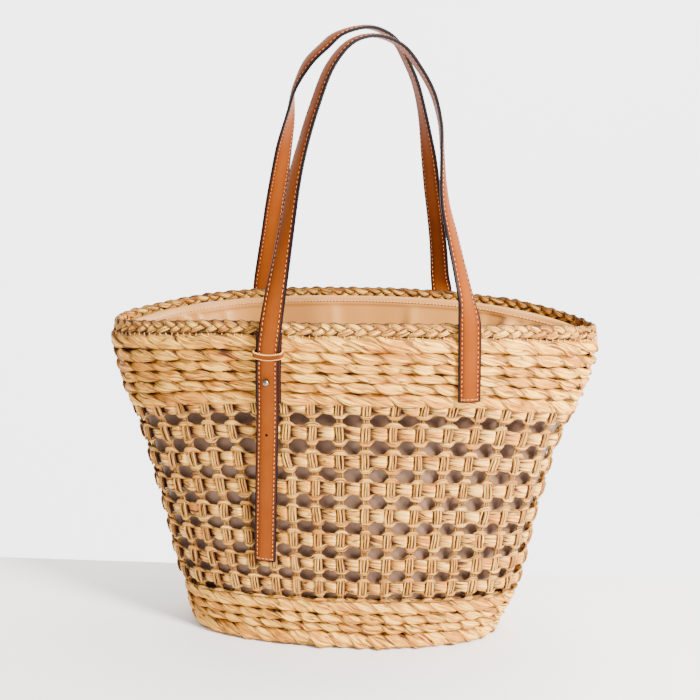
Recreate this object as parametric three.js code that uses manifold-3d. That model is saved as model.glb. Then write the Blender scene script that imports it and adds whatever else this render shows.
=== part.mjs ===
// A woven straw tote bag: woven floor, twined base band, open net body, twined upper band,
// braided rim, cloth lining and two leather handles, each with a tab, a keeper and a ball stud.
// Millimetres, +Z up, the front of the bag faces -Y. The origin is the middle of the underside.

import * as THREE from "three";
import * as BufferGeometryUtils from "three/addons/utils/BufferGeometryUtils.js";
import Module from "manifold-3d";

// Driving dimensions of the basket. Widths and depths are those of the net's outer face.
const RIM_HEIGHT = 313;
const RIM_WIDTH = 434.5;
const RIM_DEPTH = 160;
const BASE_WIDTH = 304;
const BASE_DEPTH = 132;
const TIP_DROOP = 23;
const CLEARANCE = 0.3;

// Woven walls
const NET_THICKNESS = 4;
const PAD_RELIEF = 1;
const NET_COLUMNS = 24;
const NET_ROWS = 5;
const HOLE_WIDTH_SHARE = 0.74;
const HOLE_CORNER_SHARE = 0.46;
const HOLE_HEIGHT_SHARE = 0.46;
const BASE_BAND_BOTTOM = 0.5;
const BASE_BAND_HEIGHT = 47.5;
const UPPER_BAND_HEIGHT = 63.5;
const BRAID_HEIGHT = 12.2;
const COURSE_RELIEF = 2;
const COURSE_TUCK = 1;
const FLOOR_THICKNESS = 5;
const FLOOR_EDGE = 1.5;
const BRAID_THICKNESS = 12;
const BRAID_PROUD = 10;
const BRAID_ROUNDING = 3.5;

// Lining
const LINING_THICKNESS = 1;
const LINING_CLEARANCE = 0.8;
const LINING_DROP = 8;
const FOLD_DEPTH = 9;
const FOLD_SHARPNESS = 4;

// Leather and metal
const STRAP_WIDTH = 20;
const STRAP_THICKNESS = 3;
const STRAP_BEVEL = 0.8;
const FRONT_TAB_PLACE = 64;
const FRONT_FOOT_PLACE = 108;
const FRONT_LEG_TURN = 1.8;
const BACK_TAB_PLACE = 80;
const BACK_FOOT_PLACE = 96;
const BACK_LEG_TURN = 0.4;
const HANDLE_RISE = 242;
const TAIL_REACH = 226;
const TAIL_STAND = 7;
const FOOT_LENGTH = 66;
const FOOT_LEAN = 1;
const TAB_LEG_LEAN = 0.045;
const RIM_EASE = 2;
const TAB_WIDTH = 23;
const TAB_THICKNESS = 1.6;
const TAB_TOP_DROP = 8;
const TAB_LENGTH = 65;
const KEEPER_DROP = 27;
const KEEPER_HEIGHT = 5.6;
const KEEPER_WALL = 1.4;
const KEEPER_SIDE_GAP = 0.5;
const STUD_DROP = 51;
const STUD_BALL = 6.5;
const STUD_LIFT_SHARE = 0.95;
const STUD_NECK = 3;
const STUD_BACK = 8;
const STUD_BACK_THICKNESS = 0.8;
const ADJUSTING_HOLE = 3;
const ADJUSTING_HOLE_DROP = 102;

// Heights on the bag that follow the rim and the base
const BRAID_BOTTOM = RIM_HEIGHT - BRAID_HEIGHT;
const UPPER_BAND_TOP = BRAID_BOTTOM - CLEARANCE;
const UPPER_BAND_BOTTOM = UPPER_BAND_TOP - UPPER_BAND_HEIGHT;
const BASE_BAND_TOP = BASE_BAND_BOTTOM + BASE_BAND_HEIGHT;
const LINING_TOP = RIM_HEIGHT - LINING_DROP;

// Where the tab leg's strap and tab bend: the stud, the end of the tab's rise off the band, and
// above the keeper
const STUD_HEIGHT = RIM_HEIGHT - STUD_DROP;
const KEEPER_MIDDLE = RIM_HEIGHT - KEEPER_DROP;
const BEND_HEIGHTS = [STUD_HEIGHT, STUD_HEIGHT + STUD_BACK, KEEPER_MIDDLE + KEEPER_HEIGHT];

const SEGMENTS = 2 * NET_COLUMNS;
const MID_HEIGHT = 0.5;
const WALL_SAMPLES = 720;
const UP = new THREE.Vector3(0, 0, 1);

// The basket's wall from base to rim. height: share of RIM_HEIGHT. spread: share of the way from
// the base's size to the rim's. right, left: power of the plan's sine at that end, under 1 a full
// oval, over 1 a lens. trim: how far the right end falls short of the left. droop: share of
// TIP_DROOP by which the side tips lie lower than the middle of the front.
const WALL = [
  { height: 0, spread: 0, right: 0.85, left: 0.8, trim: 15, droop: 0 },
  { height: 0.153, spread: 0.153, right: 0.9, left: 0.78, trim: 5.5, droop: 0.22 },
  { height: 0.26, spread: 0.266, right: 0.94, left: 0.76, trim: 6, droop: 0.42 },
  { height: 0.41, spread: 0.394, right: 1, left: 0.76, trim: 6.5, droop: 0.64 },
  { height: 0.64, spread: 0.64, right: 1.08, left: 0.78, trim: 6, droop: 0.87 },
  { height: 0.76, spread: 0.8, right: 1.13, left: 0.82, trim: 2.5, droop: 1 },
  { height: 0.91, spread: 0.945, right: 1.18, left: 0.95, trim: 0, droop: 0.76 },
  { height: 1, spread: 1, right: 1.2, left: 1, trim: 0, droop: 0.61 },
];

// Twined courses from the bottom up. top: share of the band's height at the crease above the
// course. proud: how far the course's crest stands out from the net's face.
const BASE_COURSES = [
  { top: 0.33, proud: 3 },
  { top: 0.52, proud: 3 },
  { top: 0.71, proud: 3 },
  { top: 1, proud: 2.5 },
];
const UPPER_COURSES = [
  { top: 0.2, proud: 6 },
  { top: 0.35, proud: 8 },
  { top: 0.49, proud: 9 },
  { top: 0.63, proud: 9.5 },
  { top: 0.79, proud: 10 },
  { top: 1, proud: 10.5 },
];

// The lining's soft upright folds. around: share of the way round, from the left tip past the
// front. depth: share of FOLD_DEPTH, inwards. width: share of the way round that it takes.
const LINING_FOLDS = [
  { around: 0.06, depth: 0.5, width: 0.04 },
  { around: 0.22, depth: 0.4, width: 0.06 },
  { around: 0.38, depth: 0.5, width: 0.05 },
  { around: 0.58, depth: 1, width: 0.05 },
  { around: 0.68, depth: 0.4, width: 0.06 },
  { around: 0.8, depth: 0.5, width: 0.06 },
  { around: 0.9, depth: 0.8, width: 0.04 },
  { around: 0.95, depth: 0.6, width: 0.03 },
];
const LINING_LEVELS = [0.035, 0.153, 0.41, 0.64, 0.8];

// Each handle in its own view, with its tab on the left. The back one is turned half round.
// tab, foot: where its legs meet the band, from the middle. legTurn: how far the tab leg has
// turned towards the arch at the rim. Routes run over the arch from the tab leg to the foot.
// across: share of half the distance between the legs. lean: share of the way from the wall to
// the bag's middle plane. rise: share of HANDLE_RISE above the rim. turn: degrees that the
// strap's width has turned from its place on the tab.
const HANDLES = [
  {
    side: "front",
    halfTurns: 0,
    tab: -FRONT_TAB_PLACE,
    foot: FRONT_FOOT_PLACE,
    legTurn: FRONT_LEG_TURN,
    route: [
      { across: -0.955, lean: 0.05, rise: 0.075, turn: -17 },
      { across: -0.9, lean: 0.16, rise: 0.207, turn: -34 },
      { across: -0.843, lean: 0.3, rise: 0.36, turn: -45 },
      { across: -0.785, lean: 0.435, rise: 0.506, turn: -51 },
      { across: -0.72, lean: 0.525, rise: 0.607, turn: -57 },
      { across: -0.61, lean: 0.6, rise: 0.74, turn: -60 },
      { across: -0.445, lean: 0.69, rise: 0.89, turn: -62 },
      { across: -0.24, lean: 0.77, rise: 0.971, turn: -65 },
      { across: 0, lean: 0.867, rise: 0.989, turn: -66 },
      { across: 0.245, lean: 0.945, rise: 0.954, turn: -69 },
      { across: 0.44, lean: 0.965, rise: 0.87, turn: -73 },
      { across: 0.575, lean: 0.94, rise: 0.785, turn: -77 },
      { across: 0.653, lean: 0.85, rise: 0.686, turn: -83 },
      { across: 0.68, lean: 0.655, rise: 0.578, turn: -90 },
      { across: 0.724, lean: 0.36, rise: 0.412, turn: -105 },
      { across: 0.81, lean: 0.18, rise: 0.288, turn: -115 },
      { across: 0.896, lean: 0.08, rise: 0.165, turn: -122 },
      { across: 0.955, lean: 0.02, rise: 0.075, turn: -132 },
    ],
  },
  {
    side: "back",
    halfTurns: 1,
    tab: -BACK_TAB_PLACE,
    foot: BACK_FOOT_PLACE,
    legTurn: BACK_LEG_TURN,
    route: [
      { across: -0.985, lean: 0.04, rise: 0.05, turn: -26 },
      { across: -0.965, lean: 0.13, rise: 0.169, turn: -35 },
      { across: -0.932, lean: 0.24, rise: 0.292, turn: -38 },
      { across: -0.892, lean: 0.365, rise: 0.412, turn: -41 },
      { across: -0.858, lean: 0.49, rise: 0.53, turn: -46 },
      { across: -0.815, lean: 0.59, rise: 0.645, turn: -60 },
      { across: -0.775, lean: 0.637, rise: 0.727, turn: -68 },
      { across: -0.71, lean: 0.67, rise: 0.82, turn: -71 },
      { across: -0.61, lean: 0.705, rise: 0.904, turn: -71 },
      { across: -0.518, lean: 0.74, rise: 0.965, turn: -70 },
      { across: -0.407, lean: 0.785, rise: 1, turn: -68 },
      { across: -0.227, lean: 0.84, rise: 1.02, turn: -64 },
      { across: 0.045, lean: 0.94, rise: 0.997, turn: -57 },
      { across: 0.2, lean: 0.985, rise: 0.951, turn: -54 },
      { across: 0.361, lean: 1, rise: 0.893, turn: -60 },
      { across: 0.506, lean: 0.95, rise: 0.8, turn: -79 },
      { across: 0.56, lean: 0.86, rise: 0.723, turn: -96 },
      { across: 0.597, lean: 0.76, rise: 0.669, turn: -109 },
      { across: 0.6625, lean: 0.6, rise: 0.583, turn: -125 },
      { across: 0.7375, lean: 0.41, rise: 0.467, turn: -139 },
      { across: 0.816, lean: 0.235, rise: 0.347, turn: -146 },
      { across: 0.885, lean: 0.1, rise: 0.222, turn: -150 },
      { across: 0.952, lean: 0.025, rise: 0.097, turn: -152 },
    ],
  },
];
const ROUTE_STEPS = 2;
const FOOT_STEPS = 4;
const TAIL_STEPS = 4;

const straw = new THREE.MeshStandardMaterial({ color: 0xcda069, roughness: 0.8, metalness: 0 });
const cloth = new THREE.MeshStandardMaterial({ color: 0xc8a582, roughness: 0.7, metalness: 0 });
const leather = new THREE.MeshStandardMaterial({ color: 0xb25820, roughness: 0.35, metalness: 0 });
const steel = new THREE.MeshStandardMaterial({ color: 0xd8d8d8, roughness: 0.2, metalness: 1 });

const solids = await Module();
solids.setup();

// The wall's measures at a height, read from the table between its rows
function wallAt(height) {
  const share = THREE.MathUtils.clamp(height / RIM_HEIGHT, 0, 1);
  let row = 1;
  while (row < WALL.length - 1 && WALL[row].height < share) row += 1;
  const low = WALL[row - 1];
  const high = WALL[row];
  const mix = (share - low.height) / (high.height - low.height);
  const spread = THREE.MathUtils.lerp(low.spread, high.spread, mix);
  return {
    halfWidth: THREE.MathUtils.lerp(BASE_WIDTH, RIM_WIDTH, spread) / 2,
    halfDepth: THREE.MathUtils.lerp(BASE_DEPTH, RIM_DEPTH, spread) / 2,
    right: THREE.MathUtils.lerp(low.right, high.right, mix),
    left: THREE.MathUtils.lerp(low.left, high.left, mix),
    trim: THREE.MathUtils.lerp(low.trim, high.trim, mix),
    droop: THREE.MathUtils.lerp(low.droop, high.droop, mix) * TIP_DROOP,
  };
}

// A point on the wall: angle round the plan, height at the middle of the front, and how far it
// stands out from the net's outer face
function wallPoint(angle, height, proud) {
  const wall = wallAt(height);
  const sine = Math.sin(angle);
  const cosine = Math.cos(angle);
  const fullness = THREE.MathUtils.lerp(wall.right, wall.left, (1 - cosine) / 2);
  const trim = wall.trim * Math.max(cosine, 0) ** 2;
  return new THREE.Vector3(
    (wall.halfWidth - trim + proud) * cosine,
    (wall.halfDepth + proud) * Math.sign(sine) * Math.abs(sine) ** fullness,
    height - wall.droop * Math.abs(cosine) ** 3,
  );
}

// Angles that part the wall at mid height into equal lengths, from the left tip past the front
function evenAngles(count) {
  const middle = MID_HEIGHT * RIM_HEIGHT;
  const lengths = [0];
  let before = wallPoint(-Math.PI, middle, 0);
  for (let i = 1; i <= WALL_SAMPLES; i += 1) {
    const here = wallPoint(-Math.PI + (2 * Math.PI * i) / WALL_SAMPLES, middle, 0);
    lengths.push(lengths[i - 1] + here.distanceTo(before));
    before = here;
  }
  const angles = [];
  let sample = 1;
  for (let k = 0; k < count; k += 1) {
    const wanted = (lengths[WALL_SAMPLES] * k) / count;
    while (lengths[sample] < wanted) sample += 1;
    const mix = (wanted - lengths[sample - 1]) / (lengths[sample] - lengths[sample - 1]);
    angles.push(-Math.PI + (2 * Math.PI * (sample - 1 + mix)) / WALL_SAMPLES);
  }
  return angles;
}

const WALL_ANGLES = evenAngles(SEGMENTS);

function angleAt(segment) {
  const turns = Math.floor(segment / SEGMENTS);
  const within = segment - turns * SEGMENTS;
  const low = Math.floor(within);
  const start = WALL_ANGLES[low];
  const end = low + 1 < SEGMENTS ? WALL_ANGLES[low + 1] : Math.PI;
  return start + (end - start) * (within - low) + turns * 2 * Math.PI;
}

function meshGeometry(points, triangles) {
  const geometry = new THREE.BufferGeometry();
  const places = points.flatMap((point) => point.toArray());
  geometry.setAttribute("position", new THREE.Float32BufferAttribute(places, 3));
  geometry.setIndex(triangles.flat());
  geometry.computeVertexNormals();
  return geometry;
}

// A closed ring round the basket. The profile is a loop of { height, proud } that runs upwards
// on the outer side.
function ringGeometry(profile) {
  const points = [];
  const triangles = [];
  const count = profile.length;
  for (let s = 0; s < SEGMENTS; s += 1) {
    for (const { height, proud } of profile) points.push(wallPoint(WALL_ANGLES[s], height, proud));
  }
  for (let s = 0; s < SEGMENTS; s += 1) {
    const next = (s + 1) % SEGMENTS;
    for (let i = 0; i < count; i += 1) {
      const j = (i + 1) % count;
      triangles.push([s * count + i, next * count + i, next * count + j]);
      triangles.push([s * count + i, next * count + j, s * count + j]);
    }
  }
  return meshGeometry(points, triangles);
}

// A band of twined courses: each course is a rounded rib on the outer side
function bandGeometry(bottom, top, courses) {
  const height = top - bottom;
  const profile = [
    { height: bottom, proud: -NET_THICKNESS },
    { height: bottom, proud: courses[0].proud - COURSE_RELIEF - COURSE_TUCK },
  ];
  let below = 0;
  courses.forEach((course, i) => {
    const above = courses[i + 1] ?? course;
    const crease = Math.min(course.proud, above.proud) - COURSE_RELIEF;
    profile.push({ height: bottom + height * (below + course.top) / 2, proud: course.proud });
    profile.push({ height: bottom + height * course.top, proud: crease });
    below = course.top;
  });
  profile.push({ height: top, proud: -NET_THICKNESS });
  return ringGeometry(profile);
}

// The open net: cells in columns and rows, each with a six-sided hole that points left and right
function netGeometry() {
  const bottom = BASE_BAND_TOP + CLEARANCE;
  const cellHeight = (UPPER_BAND_BOTTOM - CLEARANCE - bottom) / NET_ROWS;
  const points = [];
  const triangles = [];
  const known = new Map();

  function vertex(column, row, layer, relief) {
    const key = `${column % NET_COLUMNS} ${row} ${layer}`;
    if (!known.has(key)) {
      const proud = layer === "outer" ? relief : -NET_THICKNESS;
      known.set(key, points.length);
      points.push(wallPoint(angleAt((column * 2) % SEGMENTS), bottom + row * cellHeight, proud));
    }
    return known.get(key);
  }

  for (let row = 0; row < NET_ROWS; row += 1) {
    for (let column = 0; column < NET_COLUMNS; column += 1) {
      const middle = column + 0.5;
      const centre = row + 0.5;
      const tip = HOLE_WIDTH_SHARE / 2;
      const corner = HOLE_CORNER_SHARE / 2;
      const rise = HOLE_HEIGHT_SHARE / 2;
      const border = [
        [column, row],
        [middle, row],
        [column + 1, row],
        [column + 1, row + 1],
        [middle, row + 1],
        [column, row + 1],
      ];
      const hole = [
        [middle - corner, centre - rise],
        [middle + corner, centre - rise],
        [middle + tip, centre],
        [middle + corner, centre + rise],
        [middle - corner, centre + rise],
        [middle - tip, centre],
      ];
      const faces = {};
      for (const layer of ["outer", "inner"]) {
        const b = border.map(([u, v]) => vertex(u, v, layer, PAD_RELIEF));
        const h = hole.map(([u, v]) => vertex(u, v, layer, 0));
        faces[layer] = h;
        faces[`${layer}Border`] = b;
        const face = [
          [b[0], b[1], h[0]],
          [b[1], h[1], h[0]],
          [b[1], b[2], h[1]],
          [b[2], h[2], h[1]],
          [b[2], b[3], h[2]],
          [b[3], h[3], h[2]],
          [b[3], b[4], h[3]],
          [b[4], h[4], h[3]],
          [b[4], b[5], h[4]],
          [b[5], h[5], h[4]],
          [b[5], b[0], h[5]],
          [b[0], h[0], h[5]],
        ];
        for (const [p, q, r] of face) triangles.push(layer === "outer" ? [p, q, r] : [p, r, q]);
      }
      for (const [edgeRow, from, to] of [[0, 0, 2], [NET_ROWS - 1, 3, 5]]) {
        if (row !== edgeRow) continue;
        for (let i = from; i < to; i += 1) {
          triangles.push([faces.outerBorder[i + 1], faces.outerBorder[i], faces.innerBorder[i]]);
          triangles.push([faces.outerBorder[i + 1], faces.innerBorder[i], faces.innerBorder[i + 1]]);
        }
      }
      for (let i = 0; i < hole.length; i += 1) {
        const j = (i + 1) % hole.length;
        triangles.push([faces.outer[i], faces.outer[j], faces.inner[j]]);
        triangles.push([faces.outer[i], faces.inner[j], faces.inner[i]]);
      }
    }
  }
  return meshGeometry(points, triangles);
}

// The woven floor panel: a flat oval plate with a chamfered lower edge
function floorGeometry() {
  const inset = NET_THICKNESS + CLEARANCE;
  const rings = [
    { proud: -inset - FLOOR_EDGE, z: 0 },
    { proud: -inset, z: FLOOR_EDGE },
    { proud: -inset, z: FLOOR_THICKNESS },
  ];
  const points = [];
  const triangles = [];
  for (const { proud, z } of rings) {
    for (let s = 0; s < SEGMENTS; s += 1) points.push(wallPoint(WALL_ANGLES[s], 0, proud).setZ(z));
  }
  points.push(new THREE.Vector3(0, 0, 0));
  points.push(new THREE.Vector3(0, 0, FLOOR_THICKNESS));
  const underside = points.length - 2;
  const upside = points.length - 1;
  const last = (rings.length - 1) * SEGMENTS;
  for (let s = 0; s < SEGMENTS; s += 1) {
    const next = (s + 1) % SEGMENTS;
    triangles.push([underside, next, s]);
    triangles.push([upside, last + s, last + next]);
    for (let ring = 0; ring < rings.length - 1; ring += 1) {
      const low = ring * SEGMENTS;
      const high = low + SEGMENTS;
      triangles.push([low + s, low + next, high + next]);
      triangles.push([low + s, high + next, high + s]);
    }
  }
  return meshGeometry(points, triangles);
}

function foldDepth(segment) {
  let depth = 0;
  for (const fold of LINING_FOLDS) {
    const away = (segment / SEGMENTS - fold.around) / fold.width;
    depth += fold.depth * Math.exp(-FOLD_SHARPNESS * away * away);
  }
  return depth * FOLD_DEPTH;
}

// The lining: a thin cup inside the basket, folded softly, with its own floor
function liningGeometry() {
  const floor = FLOOR_THICKNESS + CLEARANCE;
  const heights = [floor, ...LINING_LEVELS.map((share) => share * RIM_HEIGHT), LINING_TOP];
  const outerProud = -NET_THICKNESS - LINING_CLEARANCE;
  const points = [];
  const triangles = [];
  const shells = [0, LINING_THICKNESS].map((inwards) => {
    const rings = heights.map((height, level) => {
      const first = points.length;
      const folded = level === 0 ? 0 : 1;
      for (let s = 0; s < SEGMENTS; s += 1) {
        const proud = outerProud - inwards - folded * foldDepth(s);
        points.push(wallPoint(WALL_ANGLES[s], level === 0 ? 0 : height, proud));
        if (level === 0) points[points.length - 1].z = floor + inwards;
      }
      return first;
    });
    points.push(new THREE.Vector3(0, 0, floor + inwards));
    return { rings, centre: points.length - 1 };
  });
  const [outer, inner] = shells;
  for (let s = 0; s < SEGMENTS; s += 1) {
    const next = (s + 1) % SEGMENTS;
    for (let level = 0; level < heights.length - 1; level += 1) {
      const low = outer.rings[level];
      const high = outer.rings[level + 1];
      triangles.push([low + s, low + next, high + next]);
      triangles.push([low + s, high + next, high + s]);
      const lowIn = inner.rings[level];
      const highIn = inner.rings[level + 1];
      triangles.push([lowIn + next, lowIn + s, highIn + s]);
      triangles.push([lowIn + next, highIn + s, highIn + next]);
    }
    const rim = outer.rings[heights.length - 1];
    const rimIn = inner.rings[heights.length - 1];
    triangles.push([rim + s, rim + next, rimIn + next]);
    triangles.push([rim + s, rimIn + next, rimIn + s]);
    triangles.push([outer.centre, outer.rings[0] + next, outer.rings[0] + s]);
    triangles.push([inner.centre, inner.rings[0] + s, inner.rings[0] + next]);
  }
  return meshGeometry(points, triangles);
}

// How far the crests of the upper band stand out, read between its lowest and highest course
function crestProud(height) {
  const lowest = UPPER_COURSES[0].proud;
  const highest = UPPER_COURSES[UPPER_COURSES.length - 1].proud;
  const share = (height - UPPER_BAND_BOTTOM) / (UPPER_BAND_TOP - UPPER_BAND_BOTTOM);
  return THREE.MathUtils.lerp(lowest, highest, THREE.MathUtils.clamp(share * 2, 0, 1));
}

// A point on the wall of a handle's own side, in that handle's view, by its place across
function ownWallPoint(handle, x, height, proud) {
  const angle = -Math.acos(x / (wallAt(height).halfWidth + proud));
  const point = wallPoint(angle + handle.halfTurns * Math.PI, height, proud);
  return point.applyAxisAngle(UP, -handle.halfTurns * Math.PI);
}

// A place on the upper band's crests, with its directions across, up and out
function bandFrame(handle, x, height, stand) {
  const crest = (atX, atHeight) => ownWallPoint(handle, atX, atHeight, crestProud(atHeight));
  const here = crest(x, height);
  const across = crest(x + 1, height).sub(here).setZ(0).normalize();
  const up = crest(x, UPPER_BAND_TOP).sub(crest(x, UPPER_BAND_BOTTOM));
  up.addScaledVector(across, -up.dot(across)).normalize();
  const out = new THREE.Vector3().crossVectors(across, up);
  return { point: here.addScaledVector(out, stand), across, up, out };
}

// How far the tab stands off the band: it lies on it below, and lets the stud's back and the
// keeper pass behind it above
function tabStand(height) {
  const keeperStand = KEEPER_WALL + 2 * CLEARANCE;
  const share = (height - UPPER_BAND_BOTTOM) / (BEND_HEIGHTS[1] - UPPER_BAND_BOTTOM);
  const back = THREE.MathUtils.lerp(CLEARANCE, keeperStand, THREE.MathUtils.clamp(share, 0, 1));
  return back + TAB_THICKNESS / 2;
}

function strapStand(height) {
  return tabStand(height) + TAB_THICKNESS / 2 + CLEARANCE + STRAP_THICKNESS / 2;
}

// A leather strip through a list of frames { point, across, out }
function stripGeometry(frames, width, thickness) {
  const half = width / 2;
  const face = thickness / 2;
  const bevel = Math.min(STRAP_BEVEL, thickness / 3);
  const section = [
    [-half, -face],
    [half, -face],
    [half, face - bevel],
    [half - 2 * bevel, face],
    [-half + 2 * bevel, face],
    [-half, face - bevel],
  ];
  const points = [];
  const triangles = [];
  const count = section.length;
  for (const { point, across, out } of frames) {
    for (const [a, b] of section) {
      points.push(point.clone().addScaledVector(across, a).addScaledVector(out, b));
    }
  }
  for (let f = 0; f < frames.length - 1; f += 1) {
    for (let i = 0; i < count; i += 1) {
      const j = (i + 1) % count;
      triangles.push([f * count + i, (f + 1) * count + j, f * count + j]);
      triangles.push([f * count + i, (f + 1) * count + i, (f + 1) * count + j]);
    }
  }
  const end = (frames.length - 1) * count;
  for (let i = 1; i < count - 1; i += 1) {
    triangles.push([0, i, i + 1]);
    triangles.push([end, end + i + 1, end + i]);
  }
  return meshGeometry(points, triangles);
}

function tabLegX(handle, height) {
  return handle.tab - (RIM_HEIGHT - height) * TAB_LEG_LEAN;
}

// The strap's frames: up the free tail, over the tab, round the arch and down to the sewn foot
function handleFrames(handle) {
  const legTop = RIM_HEIGHT - RIM_EASE;
  const onTab = (height, turned) => (
    bandFrame(handle, tabLegX(handle, height) + turned, height, strapStand(height))
  );
  const tabLeg = [UPPER_BAND_BOTTOM, ...BEND_HEIGHTS].map((height) => onTab(height, 0));
  tabLeg.push(onTab(legTop, handle.legTurn));

  const tail = [];
  const tailBottom = RIM_HEIGHT - TAIL_REACH;
  const tailEnd = ownWallPoint(handle, tabLegX(handle, tailBottom), tailBottom, TAIL_STAND);
  const up = tabLeg[0].point.clone().sub(tailEnd).normalize();
  const across = tabLeg[0].across.clone();
  across.addScaledVector(up, -across.dot(up)).normalize();
  const out = new THREE.Vector3().crossVectors(across, up);
  for (let i = 0; i < TAIL_STEPS; i += 1) {
    tail.push({ point: tailEnd.clone().lerp(tabLeg[0].point, i / TAIL_STEPS), across, out });
  }

  const foot = [];
  for (let i = 0; i <= FOOT_STEPS; i += 1) {
    const share = i / FOOT_STEPS;
    const frame = bandFrame(
      handle,
      handle.foot - FOOT_LEAN * (1 - share),
      legTop - FOOT_LENGTH * share,
      CLEARANCE + STRAP_THICKNESS / 2,
    );
    foot.push({ ...frame, across: frame.across.clone().negate() });
  }

  const middle = (handle.tab + handle.foot) / 2;
  const halfSpan = (handle.foot - handle.tab) / 2;
  const tabReach = -tabLeg[tabLeg.length - 1].point.y;
  const footReach = -foot[0].point.y;
  const arch = handle.route.map((row) => {
    const reach = THREE.MathUtils.lerp(tabReach, footReach, (row.across + 1) / 2);
    const turn = THREE.MathUtils.degToRad(row.turn);
    return {
      point: new THREE.Vector3(
        middle + row.across * halfSpan,
        -reach * (1 - row.lean),
        RIM_HEIGHT + row.rise * HANDLE_RISE,
      ),
      across: new THREE.Vector3(Math.cos(turn), Math.sin(turn), 0),
    };
  });
  const stations = [...tabLeg.slice(-2), ...arch, ...foot.slice(0, 2)];
  const route = new THREE.CatmullRomCurve3(stations.map((station) => station.point), false, "centripetal");
  const widths = new THREE.CatmullRomCurve3(stations.map((station) => station.across));
  const spans = stations.length - 1;
  const swept = [];
  for (let i = ROUTE_STEPS + 1; i < ROUTE_STEPS * (spans - 1); i += 1) {
    const t = i / (ROUTE_STEPS * spans);
    const along = route.getTangent(t);
    const width = widths.getPoint(t);
    width.addScaledVector(along, -width.dot(along)).normalize();
    const outwards = new THREE.Vector3().crossVectors(width, along);
    swept.push({ point: route.getPoint(t), across: width, out: outwards });
  }
  return [...tail, ...tabLeg, ...swept, ...foot];
}

function solidOf(geometry) {
  const bare = geometry.clone();
  bare.deleteAttribute("normal");
  bare.deleteAttribute("uv");
  const merged = BufferGeometryUtils.mergeVertices(bare, 1e-4);
  return new solids.Manifold(new solids.Mesh({
    numProp: 3,
    vertProperties: new Float32Array(merged.attributes.position.array),
    triVerts: new Uint32Array(merged.index.array),
  }));
}

function geometryOf(solid) {
  const mesh = solid.getMesh();
  const geometry = new THREE.BufferGeometry();
  geometry.setAttribute("position", new THREE.BufferAttribute(mesh.vertProperties, 3));
  geometry.setIndex(new THREE.BufferAttribute(mesh.triVerts, 1));
  geometry.computeVertexNormals();
  return geometry;
}

// Turns and moves a geometry from its own axes (X across, Y up, Z out) into a frame on the bag
function placeIn(geometry, frame) {
  const place = new THREE.Matrix4().makeBasis(frame.across, frame.up, frame.out);
  place.setPosition(frame.point);
  return geometry.applyMatrix4(place);
}

// A round punch through the leather at a place on the tab leg
function punch(diameter, frame) {
  const tool = new THREE.CylinderGeometry(diameter / 2, diameter / 2, 4 * STRAP_THICKNESS, 10);
  tool.rotateX(Math.PI / 2);
  return solidOf(placeIn(tool, frame));
}

function ballStudGeometry(frame, backStand, frontStand) {
  const ball = STUD_BALL / 2;
  const neck = STUD_NECK / 2;
  const centre = frontStand + CLEARANCE + ball * STUD_LIFT_SHARE;
  const profile = [
    new THREE.Vector2(0, backStand),
    new THREE.Vector2(STUD_BACK / 2, backStand),
    new THREE.Vector2(STUD_BACK / 2, backStand + STUD_BACK_THICKNESS),
    new THREE.Vector2(neck, backStand + STUD_BACK_THICKNESS),
  ];
  const start = Math.asin(neck / ball);
  for (let i = 0; i <= 6; i += 1) {
    const angle = start + ((Math.PI - start) * i) / 6;
    profile.push(new THREE.Vector2(i < 6 ? ball * Math.sin(angle) : 0, centre - ball * Math.cos(angle)));
  }
  const geometry = new THREE.LatheGeometry(profile, 12);
  geometry.rotateX(Math.PI / 2);
  return placeIn(geometry, frame);
}

// Points of a rectangle with rounded corners, centred on the origin
function roundedRectangle(width, depth, radius, stepsPerCorner) {
  const points = [];
  const corners = [
    [1, -1],
    [1, 1],
    [-1, 1],
    [-1, -1],
  ];
  corners.forEach(([right, up], i) => {
    for (let k = 0; k <= stepsPerCorner; k += 1) {
      const angle = (Math.PI / 2) * (i - 1 + k / stepsPerCorner);
      points.push(new THREE.Vector2(
        right * (width / 2 - radius) + radius * Math.cos(angle),
        up * (depth / 2 - radius) + radius * Math.sin(angle),
      ));
    }
  });
  return points;
}

function keeperGeometry(frame, backStand, frontStand) {
  const width = TAB_WIDTH + 2 * KEEPER_SIDE_GAP;
  const depth = frontStand - backStand + 2 * CLEARANCE;
  const wall = 2 * KEEPER_WALL;
  const outline = new THREE.Shape(roundedRectangle(width + wall, depth + wall, KEEPER_WALL, 3));
  outline.holes.push(new THREE.Path(roundedRectangle(width, depth, KEEPER_WALL / 4, 1)));
  const geometry = new THREE.ExtrudeGeometry(outline, { depth: KEEPER_HEIGHT, bevelEnabled: false });
  geometry.translate(0, 0, -KEEPER_HEIGHT / 2);
  geometry.rotateX(Math.PI / 2);
  geometry.translate(0, 0, (backStand + frontStand) / 2);
  return placeIn(geometry, frame);
}

function addPiece(group, name, geometry, material) {
  const mesh = new THREE.Mesh(geometry, material);
  mesh.name = name;
  group.add(mesh);
}

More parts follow.
